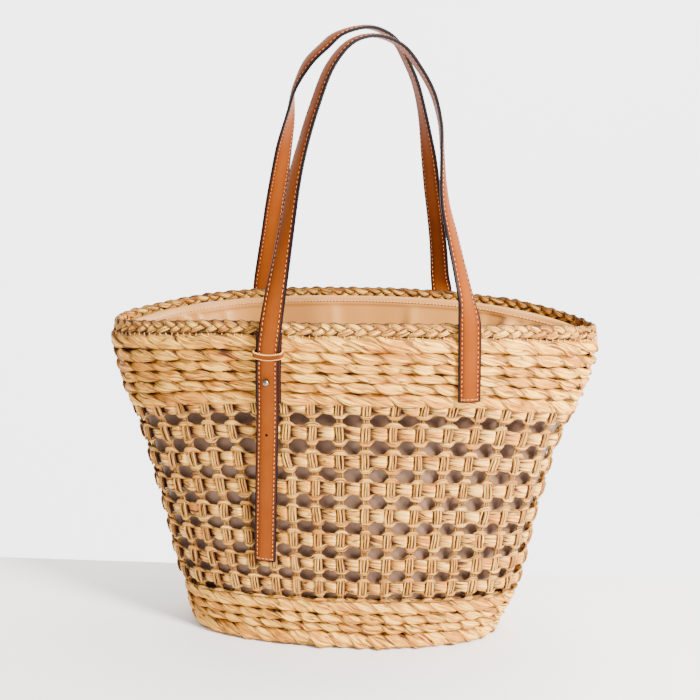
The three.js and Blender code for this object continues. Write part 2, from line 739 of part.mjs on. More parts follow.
// One handle with its tab, keeper and stud
function handleGroup(handle) {
  const group = new THREE.Group();
  const placeAt = (height, stand) => bandFrame(handle, tabLegX(handle, height), height, stand);
  const holeHeight = RIM_HEIGHT - ADJUSTING_HOLE_DROP;
  const tabTop = RIM_HEIGHT - TAB_TOP_DROP;

  const whole = solidOf(stripGeometry(handleFrames(handle), STRAP_WIDTH, STRAP_THICKNESS));
  const studHole = punch(STUD_NECK + 2 * CLEARANCE, placeAt(STUD_HEIGHT, strapStand(STUD_HEIGHT)));
  const adjustingHole = punch(ADJUSTING_HOLE, placeAt(holeHeight, 0));
  const strap = whole.subtract(studHole).subtract(adjustingHole);
  addPiece(group, `handle_${handle.side}`, geometryOf(strap), leather);

  const tabHeights = [tabTop - TAB_LENGTH, ...BEND_HEIGHTS, tabTop];
  const tabFrames = tabHeights.map((height) => placeAt(height, tabStand(height)));
  const tab = solidOf(stripGeometry(tabFrames, TAB_WIDTH, TAB_THICKNESS));
  const tabHole = punch(STUD_NECK + 2 * CLEARANCE, placeAt(STUD_HEIGHT, tabStand(STUD_HEIGHT)));
  addPiece(group, `strap_tab_${handle.side}`, geometryOf(tab.subtract(tabHole)), leather);

  const keeperBack = tabStand(KEEPER_MIDDLE) - TAB_THICKNESS / 2;
  const keeperFront = strapStand(KEEPER_MIDDLE) + STRAP_THICKNESS / 2;
  const keeper = keeperGeometry(placeAt(KEEPER_MIDDLE, 0), keeperBack, keeperFront);
  addPiece(group, `keeper_${handle.side}`, keeper, leather);

  const studFront = strapStand(STUD_HEIGHT) + STRAP_THICKNESS / 2;
  const stud = ballStudGeometry(placeAt(STUD_HEIGHT, 0), CLEARANCE, studFront);
  addPiece(group, `stud_${handle.side}`, stud, steel);

  group.rotation.z = handle.halfTurns * Math.PI;
  return group;
}

const braidInside = BRAID_PROUD - BRAID_THICKNESS;
const braidProfile = [
  { height: BRAID_BOTTOM, proud: braidInside },
  { height: BRAID_BOTTOM, proud: BRAID_PROUD - BRAID_ROUNDING / 2 },
  { height: BRAID_BOTTOM + BRAID_ROUNDING, proud: BRAID_PROUD },
  { height: RIM_HEIGHT - BRAID_ROUNDING, proud: BRAID_PROUD },
  { height: RIM_HEIGHT, proud: BRAID_PROUD - BRAID_ROUNDING },
  { height: RIM_HEIGHT, proud: braidInside + BRAID_ROUNDING },
  { height: RIM_HEIGHT - BRAID_ROUNDING, proud: braidInside },
];

const bag = new THREE.Group();
addPiece(bag, "base_floor", floorGeometry(), straw);
addPiece(bag, "base_band", bandGeometry(BASE_BAND_BOTTOM, BASE_BAND_TOP, BASE_COURSES), straw);
addPiece(bag, "net_body", netGeometry(), straw);
addPiece(bag, "upper_band", bandGeometry(UPPER_BAND_BOTTOM, UPPER_BAND_TOP, UPPER_COURSES), straw);
addPiece(bag, "rim_braid", ringGeometry(braidProfile), straw);
addPiece(bag, "lining", liningGeometry(), cloth);
for (const handle of HANDLES) bag.add(handleGroup(handle));

export default bag;
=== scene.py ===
# A woven straw tote bag with leather handles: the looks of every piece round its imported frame.
# Sizes of the bag's details are in millimetres, and MM turns them into metres.

import math

import bpy
import numpy as np
from mathutils import Matrix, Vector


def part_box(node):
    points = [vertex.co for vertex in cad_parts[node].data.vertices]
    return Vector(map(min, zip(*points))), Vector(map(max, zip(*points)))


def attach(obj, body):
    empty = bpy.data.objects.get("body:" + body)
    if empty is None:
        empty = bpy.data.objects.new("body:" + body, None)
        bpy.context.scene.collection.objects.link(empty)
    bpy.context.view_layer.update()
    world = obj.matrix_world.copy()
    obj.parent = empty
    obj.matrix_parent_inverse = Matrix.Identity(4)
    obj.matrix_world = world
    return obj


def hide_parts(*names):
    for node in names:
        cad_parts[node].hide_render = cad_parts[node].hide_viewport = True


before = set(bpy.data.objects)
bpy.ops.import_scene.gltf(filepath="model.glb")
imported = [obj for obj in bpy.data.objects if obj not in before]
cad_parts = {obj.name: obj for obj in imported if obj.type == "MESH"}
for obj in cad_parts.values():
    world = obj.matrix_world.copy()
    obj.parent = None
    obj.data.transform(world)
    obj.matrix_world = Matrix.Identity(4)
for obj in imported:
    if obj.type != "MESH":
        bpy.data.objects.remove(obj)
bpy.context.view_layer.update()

MM = 0.001
TAU = 2 * math.pi

# The frame's main sizes
RIM_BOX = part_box("rim_braid")
FLOOR_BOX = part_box("base_floor")
BRAID_PROUD = 10 * MM
FLOOR_INSET = 4.3 * MM
RIM_HEIGHT = RIM_BOX[1][2]
RIM_HALF_WIDTH = RIM_BOX[1][0] - BRAID_PROUD
RIM_HALF_DEPTH = RIM_BOX[1][1] - BRAID_PROUD
BASE_HALF_WIDTH = FLOOR_INSET - FLOOR_BOX[0][0]
BASE_HALF_DEPTH = FLOOR_BOX[1][1] + FLOOR_INSET
FLOOR_TOP = FLOOR_BOX[1][2]
TIP_DROOP = 23 * MM
NET_THICKNESS = 4 * MM
CLEARANCE = 0.3 * MM

# The wall from base to rim: height and spread as shares, the power of the plan's sine at the right
# and the left end, how far the right end falls short of the left in millimetres, and the droop of
# the side tips as a share of TIP_DROOP
WALL_HEIGHT = [0, 0.153, 0.26, 0.41, 0.64, 0.76, 0.91, 1]
WALL_SPREAD = [0, 0.153, 0.266, 0.394, 0.64, 0.8, 0.945, 1]
WALL_RIGHT = [0.85, 0.9, 0.94, 1, 1.08, 1.13, 1.18, 1.2]
WALL_LEFT = [0.8, 0.78, 0.76, 0.76, 0.78, 0.82, 0.95, 1]
WALL_TRIM = [15, 5.5, 6, 6.5, 6, 2.5, 0, 0]
WALL_DROOP = [0, 0.22, 0.42, 0.64, 0.87, 1, 0.76, 0.61]

# Steps of the even spacing round the plan, and how far apart the wall's directions are measured
PLAN_STEPS = 1441
NEAR_SHARE = 0.002
NEAR_HEIGHT = 4 * MM


def wall_measures(height):
    """Half width and half depth of the plan at a height, both ends' powers, trim and droop."""
    share = np.clip(np.asarray(height, float) / RIM_HEIGHT, 0, 1)
    rows = (WALL_SPREAD, WALL_RIGHT, WALL_LEFT, WALL_TRIM, WALL_DROOP)
    spread, right, left, trim, droop = [np.interp(share, WALL_HEIGHT, row) for row in rows]
    half_width = BASE_HALF_WIDTH + (RIM_HALF_WIDTH - BASE_HALF_WIDTH) * spread
    half_depth = BASE_HALF_DEPTH + (RIM_HALF_DEPTH - BASE_HALF_DEPTH) * spread
    return half_width, half_depth, right, left, trim * MM, droop * TIP_DROOP


def wall_point(angle, height, proud):
    """Points on the wall: angle round the plan, height at the middle of the front, stand-off."""
    half_width, half_depth, right, left, trim, droop = wall_measures(height)
    sine = np.sin(angle)
    cosine = np.cos(angle)
    fullness = right + (left - right) * (1 - cosine) / 2
    x = (half_width - trim * np.maximum(cosine, 0) ** 2 + proud) * cosine
    y = (half_depth + proud) * np.sign(sine) * np.abs(sine) ** fullness
    z = height - droop * np.abs(cosine) ** 3
    return np.stack(np.broadcast_arrays(x, y, z), axis=-1)


def even_angles():
    """Angle against the share of the way round at mid height, from the left tip past the front."""
    angles = np.linspace(-math.pi, math.pi, PLAN_STEPS)
    points = wall_point(angles, RIM_HEIGHT / 2, 0)
    steps = np.linalg.norm(np.diff(points, axis=0), axis=1)
    lengths = np.concatenate([[0], np.cumsum(steps)])
    return lengths / lengths[-1], angles


SHARES, ANGLES = even_angles()


def angle_at(share):
    """The plan's angle at a share of the way round, past one turn too."""
    turns = np.floor(share)
    return np.interp(share - turns, SHARES, ANGLES) + turns * TAU


def unit(vectors):
    """The same directions with length one."""
    return vectors / np.linalg.norm(vectors, axis=-1, keepdims=True)


def wall_frame(share, height, proud):
    """Point, direction round the bag, direction up the wall and outwards."""
    height = np.asarray(height)
    angle = angle_at(share)
    ahead = wall_point(angle_at(share + NEAR_SHARE), height, proud)
    behind = wall_point(angle_at(share - NEAR_SHARE), height, proud)
    along = unit(ahead - behind)
    low = wall_point(angle, np.maximum(height - NEAR_HEIGHT, 0), proud)
    high = wall_point(angle, np.minimum(height + NEAR_HEIGHT, RIM_HEIGHT), proud)
    up = high - low
    up = unit(up - along * np.sum(up * along, axis=-1, keepdims=True))
    return wall_point(angle, height, proud), along, up, np.cross(along, up)


def heading(path):
    """The direction along a closed path at each of its points."""
    return unit(np.roll(path, -1, axis=0) - np.roll(path, 1, axis=0))


# Length of strand that one unit of its UV map covers
UV_LENGTH = 10 * MM


class Strands:
    """Many swept strands, gathered into one mesh with their strand UV, tint, shade and finish."""

    def __init__(self):
        self.points = []
        self.faces = []
        self.uvs = []
        self.tints = []
        self.shades = []
        self.materials = []
        self.count = 0

    def add(self, block, closed, tint, shade=0, finish=0):
        """Adds a strand. block is steps by section points, and closed joins its ends. tint and
        shade are one number, one for each step or one for each point, and finish is the number of
        a material, one or for each face. The caps of an open strand take the highest."""
        steps, around, _ = block.shape
        base = self.count
        self.points.append(block.reshape(-1, 3))
        self.count += steps * around
        middle = block.mean(axis=1)
        travel = np.linalg.norm(np.diff(middle, axis=0, append=middle[:1]), axis=1)
        reach = np.concatenate([[0], np.cumsum(travel)]) / UV_LENGTH
        last = steps if closed else steps - 1
        i = np.arange(last)[:, None]
        j = np.arange(around)[None, :]
        next_i = (i + 1) % steps
        next_j = (j + 1) % around
        corners = [i * around + j, next_i * around + j, next_i * around + next_j, i * around + next_j]
        u = [reach[i], reach[i + 1], reach[i + 1], reach[i]]
        v = [j / around, j / around, (j + 1) / around, (j + 1) / around]
        ahead = (np.roll(block, -1, axis=0) - block)[:last]
        beside = (np.roll(block, -1, axis=1) - block)[:last]
        outwards = (block - middle[:, None, :])[:last]
        order = 1 if np.sum(np.cross(ahead, beside) * outwards) > 0 else -1
        self.faces.append(self._loops(corners[::order], last, around) + base)
        loop_uvs = [self._loops(part[::order], last, around) for part in (u, v)]
        self.uvs.append(np.stack(loop_uvs, axis=-1).reshape(-1, 2))
        for values, store in ((tint, self.tints), (shade, self.shades)):
            values = np.asarray(values, float)
            if values.ndim == 1:
                values = values[:, None]
            store.append(np.broadcast_to(values, (steps, around)).reshape(-1))
        self.materials.append(np.broadcast_to(finish, (last, around)).reshape(-1))
        if not closed:
            self._cap(base + np.arange(around)[::order], np.max(finish))
            self._cap(base + (steps - 1) * around + np.arange(around)[::-order], np.max(finish))

    def _loops(self, parts, last, around):
        """One row of four values for each face."""
        return np.stack([np.broadcast_to(part, (last, around)) for part in parts], axis=-1).reshape(-1, 4)

    def _cap(self, loop, finish):
        """Closes one end with a row of four-sided faces."""
        middle = len(loop) // 2
        for k in range(1, middle):
            quad = [loop[k - 1], loop[k], loop[-k - 1], loop[-k]]
            self.faces.append(np.array([quad]))
            self.uvs.append(np.zeros((4, 2)))
            self.materials.append(np.array([finish]))

    def build(self, name, finishes):
        """Makes the mesh and its object, with its materials in the order of their numbers."""
        mesh = bpy.data.meshes.new(name)
        points = np.concatenate(self.points)
        faces = np.concatenate(self.faces)
        mesh.vertices.add(len(points))
        mesh.vertices.foreach_set("co", points.reshape(-1))
        mesh.loops.add(len(faces) * 4)
        mesh.loops.foreach_set("vertex_index", faces.reshape(-1).astype(np.int32))
        mesh.polygons.add(len(faces))
        mesh.polygons.foreach_set("loop_start", np.arange(0, len(faces) * 4, 4, dtype=np.int32))
        for finish in finishes:
            mesh.materials.append(finish)
        mesh.polygons.foreach_set("material_index", np.concatenate(self.materials).astype(np.int32))
        mesh.polygons.foreach_set("use_smooth", np.ones(len(faces), dtype=bool))
        layer = mesh.uv_layers.new(name="strand")
        layer.data.foreach_set("uv", np.concatenate(self.uvs).reshape(-1))
        for label, values in (("tint", self.tints), ("shade", self.shades)):
            attribute = mesh.attributes.new(label, "FLOAT", "POINT")
            attribute.data.foreach_set("value", np.concatenate(values))
        mesh.update(calc_edges=True)
        mesh.validate()
        obj = bpy.data.objects.new(name, mesh)
        bpy.context.scene.collection.objects.link(obj)
        return obj


def finish_piece(piece, node):
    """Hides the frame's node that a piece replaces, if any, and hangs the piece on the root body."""
    if node:
        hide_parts(node)
    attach(piece, "root")


# Materials


class Value:
    """A node's output that can be used in sums: each operator adds its Math node."""

    def __init__(self, finish, socket):
        self.finish = finish
        self.socket = socket

    def _math(self, operation, *parts):
        return self.finish.node("ShaderNodeMath", {"operation": operation}, *parts)

    def __add__(self, other):
        return self._math("ADD", self, other)

    def __mul__(self, other):
        return self._math("MULTIPLY", self, other)

    def __sub__(self, other):
        return self._math("SUBTRACT", self, other)

    def __rsub__(self, other):
        return self._math("SUBTRACT", other, self)

    __radd__ = __add__
    __rmul__ = __mul__


class Finish:
    """One material with its shader, and the method that makes its nodes."""

    def __init__(self, name):
        self.material = bpy.data.materials.new(name)
        self.material.use_nodes = True
        self.tree = self.material.node_tree
        self.shader = self.tree.nodes["Principled BSDF"]

    def _set_sockets(self, node, places):
        """Links or sets sockets, given by number or by name with _ for a space. None is left."""
        for place, value in places:
            socket = node.inputs[place if isinstance(place, int) else place.replace("_", " ")]
            if isinstance(value, Value):
                self.tree.links.new(value.socket, socket)
            elif value is not None:
                socket.default_value = value

    def node(self, kind, settings, *inputs, output=0, **named):
        """Adds a node with its settings, a ramp's stops among them, and then its sockets."""
        node = self.tree.nodes.new(kind)
        for key, value in settings.items():
            if key == "stops":
                elements = node.color_ramp.elements
                while len(elements) < len(value):
                    elements.new(0.5)
                for element, (position, colour) in zip(elements, value):
                    element.position = position
                    element.color = colour
            else:
                setattr(node, key, value)
        self._set_sockets(node, list(enumerate(inputs)) + list(named.items()))
        return Value(self, node.outputs[output])

    def feed(self, **named):
        """Sets or links the shader's own sockets."""
        self._set_sockets(self.shader, named.items())

    def attribute(self, label):
        return self.node("ShaderNodeAttribute", {"attribute_name": label}, output=2)

    def strand_places(self):
        """How far along its strand a point lies, and how far round it."""
        uv = self.node("ShaderNodeUVMap", {"uv_map": "strand"})
        return [self.node("ShaderNodeSeparateXYZ", {}, uv, output=axis) for axis in (0, 1)]

    def object_place(self, scale=None):
        """The place on the object, or one that a Mapping node has stretched."""
        place = self.node("ShaderNodeTexCoord", {}, output=3)
        return self.node("ShaderNodeMapping", {}, Vector=place, Scale=scale) if scale else place

    def join(self, x, y, z):
        return self.node("ShaderNodeCombineXYZ", {}, x, y, z)

    def noise(self, vector, scale, detail=2.0, roughness=0.5):
        return self.node("ShaderNodeTexNoise", {}, Vector=vector, Scale=scale, Detail=detail,
                         Roughness=roughness)

    def mix(self, factor, first, second):
        """Mixes two colours, which are sockets 6 and 7 of the node."""
        between = [None] * 5
        return self.node("ShaderNodeMix", {"data_type": "RGBA"}, factor, *between, first, second, output=2)

    def ramp(self, factor, stops):
        return self.node("ShaderNodeValToRGB", {"stops": stops}, factor)

    def clamped(self, value):
        return self.node("ShaderNodeClamp", {}, value)

    def bump(self, height, strength, distance):
        normal = self.node("ShaderNodeBump", {}, Strength=strength, Distance=distance, Height=height)
        self.feed(Normal=normal)


def tone(red, green, blue):
    """A colour given as screen values from 0 to 255."""
    def linear(value):
        value = value / 255
        return value / 12.92 if value <= 0.04045 else ((value + 0.055) / 1.055) ** 2.4

    return (linear(red), linear(green), linear(blue), 1)


BLACK = (0, 0, 0, 1)
WHITE = (1, 1, 1, 1)
# Ramp stops for thin dark crease and groove lines, painted shade in the straw
CREASE_LINE = [(0.46, BLACK), (0.49, WHITE), (0.51, WHITE), (0.54, BLACK)]
GROOVE = [(0.34, WHITE), (0.4, BLACK)]


def straw_finish(name, *colours):
    """Twisted paper straw: fibres along each strand, pale and dark patches, and painted shade: the shade
    attribute and thin crease and groove lines mix in a brown shade colour. The colours are dark,
    middle, pale and that painted shade."""
    dark, middle, pale, crease_shade = [tone(*colour) for colour in colours]
    finish = Finish(name)
    u, v = finish.strand_places()
    tint = finish.attribute("tint")
    shade = finish.attribute("shade")
    fine = finish.noise(finish.join(u * 0.7, v * 44, tint * 40), 1.0, 2.0, 0.6)
    fibres = finish.noise(finish.join(u * 0.35, v * 16, tint * 31), 1.0, 2.0, 0.6)
    folds = finish.noise(finish.join(u * 0.25, v * 6, tint * 23), 1.0, 1.0, 0.5)
    patches = finish.noise(finish.join(u * 0.8, v * 2, tint * 71), 1.0, 1.0, 0.5)
    streaks = fibres * 0.6 + fine * 0.25 + folds * 0.25
    blend = (streaks - 0.55) * 2.2 + 0.54 + (patches - 0.5) * 0.35 + (tint - 0.5) * 0.2
    colour = finish.ramp(blend, [(0.2, dark), (0.5, middle), (0.76, pale)])
    groove = finish.ramp(fibres, GROOVE)
    creases = finish.ramp(folds, CREASE_LINE) * 0.62 + finish.ramp(fibres, CREASE_LINE) * 0.2
    # Painted shade: the shade attribute plus the dark crease and groove lines darken the straw towards
    # crease_shade
    painted_shade = finish.clamped(shade + groove * 0.4 + creases)
    finish.feed(Base_Color=finish.mix(painted_shade, colour, crease_shade), Roughness=0.6 + 0.2 * patches)
    finish.feed(Specular_IOR_Level=0.25)
    finish.bump(streaks, 1.0, 1.6 * MM)
    return finish.material


def lining_finish(name, colour, fold_colour):
    """Matt woven cotton: crossing threads in its relief and faint clouds in its colour."""
    finish = Finish(name)
    threads_x = finish.noise(finish.object_place((900, 900, 60)), 1.0, 1.0)
    threads_z = finish.noise(finish.object_place((60, 60, 1400)), 1.0, 1.0)
    clouds = finish.noise(finish.object_place(), 18.0, 2.0)
    mixed = finish.mix(clouds * 0.9, colour, fold_colour)
    finish.feed(Base_Color=mixed, Roughness=0.52, Specular_IOR_Level=0.4)
    finish.feed(Sheen_Weight=0.25, Sheen_Roughness=0.4)
    finish.bump(threads_x + threads_z, 0.12, 0.15 * MM)
    return finish.material


def leather_finish(name, colour, deep_colour, margin_and_shade_colour):
    """Smooth leather with deeper clouds; tint is the share of its dark colour, used for the darker margins
    and as painted shade on the dome and in the seam groove.
    """
    finish = Finish(name)
    place = finish.object_place()
    grain = finish.noise(place, 1400.0, 2.0)
    clouds = finish.noise(place, 28.0, 3.0)
    scratches = finish.noise(finish.object_place((900, 900, 40)), 1.0, 2.0)
    deep = finish.mix(clouds * 0.9 + scratches * 0.3 - 0.15, colour, deep_colour)
    finish.feed(Base_Color=finish.mix(finish.attribute("tint"), deep, margin_and_shade_colour))
    finish.feed(Roughness=0.36 + 0.16 * clouds, Specular_IOR_Level=0.03)
    finish.bump(grain + scratches, 0.12, 0.1 * MM)
    return finish.material


def edge_paint_finish(name, colour, speck_colour):
    """Thick paint on a cut leather edge, slightly uneven."""
    finish = Finish(name)
    specks = finish.noise(finish.object_place(), 600.0, 2.0)
    mixed = finish.mix(specks * 0.4, colour, speck_colour)
    finish.feed(Base_Color=mixed, Roughness=0.34 + 0.2 * specks, Specular_IOR_Level=0.08)
    finish.bump(specks, 0.15, 0.1 * MM)
    return finish.material


def thread_finish(name, colour, twist_colour):
    """Waxed thread, darker in its twist."""
    finish = Finish(name)
    twist = finish.noise(finish.object_place(), 900.0, 2.0)
    finish.feed(Base_Color=finish.mix(twist * 0.6, colour, twist_colour), Roughness=0.6)
    finish.bump(twist, 0.3, 0.1 * MM)
    return finish.material


def steel_finish(name, colour, scuff_colour):
    """Polished steel with faint scuffs."""
    finish = Finish(name)
    scuffs = finish.noise(finish.object_place(), 400.0, 3.0)
    finish.feed(Base_Color=finish.mix(scuffs * 0.5, colour, scuff_colour))
    finish.feed(Metallic=1.0, Roughness=0.1 + 0.14 * scuffs)
    return finish.material


# Straw colours: dark, middle, pale, and the painted shade colour of creases and shaded parts
STRAW = straw_finish("straw", (172, 100, 20), (217, 141, 38), (255, 193, 80), (54, 20, 4))
# A paler copy of the straw for the net: painted light for its brighter highlights
STRAW_NET_LIT = straw_finish("straw_net_painted_light", (188, 110, 32), (232, 153, 56), (255, 199, 100), (60, 24, 6))
# A darker copy of the straw for the rim braid: painted shade, as the braid faces the lights
STRAW_BRAID_SHADED = straw_finish("straw_braid_painted_shade", (140, 78, 18), (196, 124, 40), (246, 188, 86), (38, 14, 2))
CLOTH = lining_finish("lining_cloth", tone(192, 134, 60), tone(168, 108, 42))
# The cloth's reverse side on the lining's outer face: a darker taupe, partly painted shade behind the net
CLOTH_BACK_SHADED = lining_finish("lining_cloth_back_shaded", tone(142, 106, 80), tone(100, 70, 50))
LEATHER = leather_finish("leather", tone(130, 67, 21), tone(104, 44, 6), tone(72, 28, 6))
EDGE_PAINT = edge_paint_finish("edge_paint", tone(12, 8, 14), tone(40, 24, 20))
PALE_EDGE = edge_paint_finish("pale_edge", tone(226, 172, 104), tone(40, 24, 20))
THREAD = thread_finish("thread", tone(206, 130, 76), tone(176, 108, 66))
HEM_THREAD = thread_finish("hem_thread", tone(222, 168, 102), tone(176, 108, 66))
STEEL = steel_finish("steel", tone(138, 130, 122), tone(86, 80, 74))


# Straw courses


def soft_noise(rng, share, waves, size):
    """A smooth random curve that closes on itself round the bag."""
    total = np.zeros_like(share)
    for wave in waves:
        total = total + np.sin(TAU * (wave * share + rng.random())) * rng.normal()
    return size * total / math.sqrt(len(waves))


def strand_section(sides, edge=0.0):
    """Unit places across and through a flat strand; edge thins its two sides."""
    angle = TAU * np.arange(sides) / sides
    return np.cos(angle), np.sin(angle) * np.abs(np.sin(angle)) ** edge


def pleats(rng, share, sides, waves, size):
    """Small lengthwise folds, one slow random run for each point of the section."""
    return np.stack([soft_noise(rng, share, waves, size) for _ in range(sides)], axis=1)


def rolled_edges(sides, slope, start):
    """Shade on a flat strand's two sides, one value for each point of its section."""
    return np.clip(np.abs(strand_section(sides)[0]) * slope - start, 0, 1)[None, :]


def sweep(centre, wide, thick, half_width, half_thickness, sides, edge=0.0, crumple=0.0):
    """A flat strand along centre: wide and thick are its section's directions."""
    across, through = strand_section(sides, edge)
    a = np.reshape(half_width, (-1, 1)) * across[None, :]
    b = np.reshape(half_thickness, (-1, 1)) * through[None, :] + crumple
    return centre[:, None, :] + a[:, :, None] * wide[:, None, :] + b[:, :, None] * thick[:, None, :]


STAKES = 38
LONG_STITCHES = 39
LEAST_HEIGHT = 0.2 * MM
COURSE_STEPS = 10
COURSE_SIDES = 14

# The flat strand that closes a course or the braid from inside, made dark with painted shade
CORE_SIDES = 8
CORE_TINT = 0.3
CORE_SHADE = 0.6

# Shares of a course's height: how far its axis and its core lie behind the crest, how far the plies
# swing round the axis, their half thickness, and the core's half height and half thickness
AXIS_DEPTH = 0.36
CORE_DEPTH = 0.5
PLY_SWING = 0.2
PLY_HALF_THICKNESS = 0.19
CORE_HALF_HEIGHT = 0.6
CORE_HALF_THICKNESS = 0.16

# How strongly a ply turns flat to the front, and the least cosine that its width is divided by
PLY_FLATNESS = 0.62
LEAST_COSINE = 0.62

# Lower edge of a flat ply against its turn in degrees, in shares of the course's height, for two
# and three plies. Its upper edge is the same the other way up and round.
PLY_TURN = [-180, -120, -90, 0, 30, 60, 90, 120, 180]
PLY_LOWER = {
    2: [-0.3, -0.46, -0.56, -0.58, -0.52, -0.36, -0.1, 0, -0.3],
    3: [-0.3, -0.44, -0.54, -0.55, -0.42, -0.1, 0.08, 0.05, -0.3],
}


def rope_course(strands, rng, height, crest, size, plies, stitches):
    """One twined course: flat plies laid round each other, their creases falling to the right."""
    count = stitches * COURSE_STEPS
    turns = stitches // plies
    share = np.arange(count) / count
    wander = soft_noise(rng, share, [5, 9, 14], 0.04 * size)
    swell = 1 + soft_noise(rng, share, [6, 13, 21], 0.03)
    point, _, up, out = wall_frame(share, height + wander, crest - AXIS_DEPTH * size)
    low, high = [wall_point(angle_at(share), height + side * size / 2, 0) for side in (-1, 1)]
    swell = swell * np.linalg.norm(high - low, axis=1) / size
    drift = soft_noise(rng, share, [7, 19, 29], 0.2)
    start = rng.random() * 0.3
    for ply in range(plies):
        turn = share * turns - ply / plies - start + drift / TAU
        phase = -TAU * turn
        stitch = np.floor(turn + 0.5).astype(int) % turns
        fat = (1 + 0.07 * rng.normal(size=turns))[stitch] * swell
        lift = (0.04 * size * rng.normal(size=turns))[stitch]
        lean = (0.1 * rng.normal(size=turns))[stitch]
        tints = rng.random(turns)[stitch]
        facing = 0.5 + 0.5 * np.cos(phase)
        degrees = np.degrees((phase + math.pi) % TAU - math.pi)
        lower = np.interp(degrees, PLY_TURN, PLY_LOWER[plies])
        upper = -np.interp(-degrees, PLY_TURN, PLY_LOWER[plies])
        turned = phase - PLY_FLATNESS * np.sin(phase) + lean * facing
        thick = np.cos(turned)[:, None] * out + np.sin(turned)[:, None] * up
        wide = -np.sin(turned)[:, None] * out + np.cos(turned)[:, None] * up
        half = (upper - lower) / 2 * fat * size / np.maximum(np.abs(np.cos(turned)), LEAST_COSINE)
        reach = PLY_SWING * size * np.cos(phase) + lift * facing
        centre = point + out * reach[:, None] + up * ((upper + lower) / 2 * size)[:, None]
        crumple = pleats(rng, share, COURSE_SIDES, [23, 47, 83], 0.04 * size)
        crumple = crumple * (0.4 + 0.6 * facing)[:, None]
        block = sweep(centre, wide, thick, half, PLY_HALF_THICKNESS * size, COURSE_SIDES, 0.15, crumple)
        block[:, :, 2] = np.maximum(block[:, :, 2], LEAST_HEIGHT)
        # Painted shade where a ply turns to the back and on its rolled edges
        tucked = np.clip(1.15 - 1.7 * facing, 0, 1)[:, None]
        strands.add(block, True, tints, shade=np.maximum(tucked, rolled_edges(COURSE_SIDES, 2.6, 1.95)))
    few = slice(None, None, 5)
    point, _, up, out = wall_frame(share[few], height + wander[few], crest - CORE_DEPTH * size)
    core = sweep(point, up, out, CORE_HALF_HEIGHT * size, CORE_HALF_THICKNESS * size, CORE_SIDES)
    core[:, :, 2] = np.maximum(core[:, :, 2], LEAST_HEIGHT)
    strands.add(core, True, CORE_TINT, shade=CORE_SHADE)


def band(name, node, bottom, top, courses, seed):
    """The twined courses between two heights, from the lowest up."""
    rng = np.random.default_rng(seed)
    strands = Strands()
    low = 0
    for share_top, crest, plies in courses:
        size = (share_top - low) * (top - bottom)
        middle = bottom + (share_top + low) / 2 * (top - bottom)
        stitches = LONG_STITCHES if plies == 3 else STAKES
        rope_course(strands, rng, middle, crest * MM, size, plies, stitches)
        low = share_top
    finish_piece(strands.build(name, [STRAW]), node)


# Courses of each band: top edge as a share of the band, how far the crest stands out in
# millimetres, and the number of plies
BASE_COURSES = [(0.33, 3, 3), (0.52, 3, 2), (0.71, 3, 2), (1, 2.5, 3)]
UPPER_COURSES = [(0.2, 6, 3), (0.35, 8, 2), (0.49, 9, 2), (0.63, 9.5, 2), (0.79, 10, 2), (1, 10.5, 3)]
BASE_BAND = (0.5 * MM, 48 * MM)
UPPER_BAND = (237 * MM, 300.5 * MM)

band("base_band_weave", "base_band", *BASE_BAND, BASE_COURSES, 11)
band("upper_band_weave", "upper_band", *UPPER_BAND, UPPER_COURSES, 12)


# Open net: rows of pads, upright cords over them, and swags along the gaps' upper and lower edges

NET_ROWS = np.array([62.1, 84.6, 108.7, 132.8, 158.8, 184.6, 211, 235]) * MM
NET_WANDER = 0.45 * MM
STAKE_SWAY = 0.036
SWAY_KNOTS = 14

# Pads: share of the row spacing that is half a pad's height, least and greatest stand-off, half
# thickness, and along one cell its stations, its rise, its fullness and its painted shade, dark where
# the pad dips in behind the cords
PAD_SIDES = 12
PAD_HEIGHT_SHARE = 0.235
PAD_DEEPEST = -1.5 * MM
PAD_PROUDEST = 2.1 * MM
PAD_HALF_THICKNESS = 1.5 * MM
PAD_STATIONS = [0, 0.07, 0.13, 0.19, 0.28, 0.38, 0.48, 0.57, 0.65, 0.71, 0.76, 0.8, 0.84, 0.9]
PAD_RISE = [(0, 0), (0.13, 0), (0.3, 0.4), (0.5, 0.8), (0.7, 1), (0.79, 0.85), (0.85, 0.1), (1, 0)]
PAD_FULLNESS = [(0, 0.68), (0.12, 0.8), (0.3, 0.96), (0.55, 1.06), (0.74, 1.08), (0.84, 0.84), (1, 0.68)]
PAD_SHADE = [(0, 1), (0.13, 1), (0.24, 0.7), (0.42, 0.25), (0.62, 0.03), (0.8, 0), (0.86, 0.9), (1, 1)]

# Swags: strands along the gaps' upper and lower edges
SWAG_STEPS = 14
SWAG_SIDES = 8
SWAG_HALF_THICKNESS = 0.75 * MM
SWAG_LIFT = 0.35 * MM
SWAG_END_HALF_WIDTH = 0.85 * MM

# Upright cords: their places in the wall and where they gather over a row's pads
CORD_SIDES = 8
CORD_HEIGHTS = 78
CORD_KNOTS = 19
CORD_SPACING = 2.55 * MM
CORD_RADIUS = 1.08 * MM
CORD_ON_PAD = 5 * MM
CORD_OFF_PAD = 9.5 * MM


def smooth_step(low, high, value):
    """0 up to low, 1 from high on, and smooth between them."""
    t = np.clip((value - low) / (high - low), 0, 1)
    return t * t * (3 - 2 * t)


def along_cell(cell, stations):
    """A value read off pairs of place in the cell and value."""
    return np.interp(cell, *zip(*stations))


def pad_half_heights():
    """Half a pad's height in each row, from the heights of the rows next to it."""
    edges = np.concatenate([[BASE_BAND[1] - 8 * MM], NET_ROWS, [NET_ROWS[-1] + 24 * MM]])
    return PAD_HEIGHT_SHARE * (edges[2:] - edges[:-2]) / 2


def per_stake(rng, cell_number, size):
    """One random value for each stake or pad, the same all along it."""
    return (size * rng.normal(size=STAKES))[cell_number % STAKES]


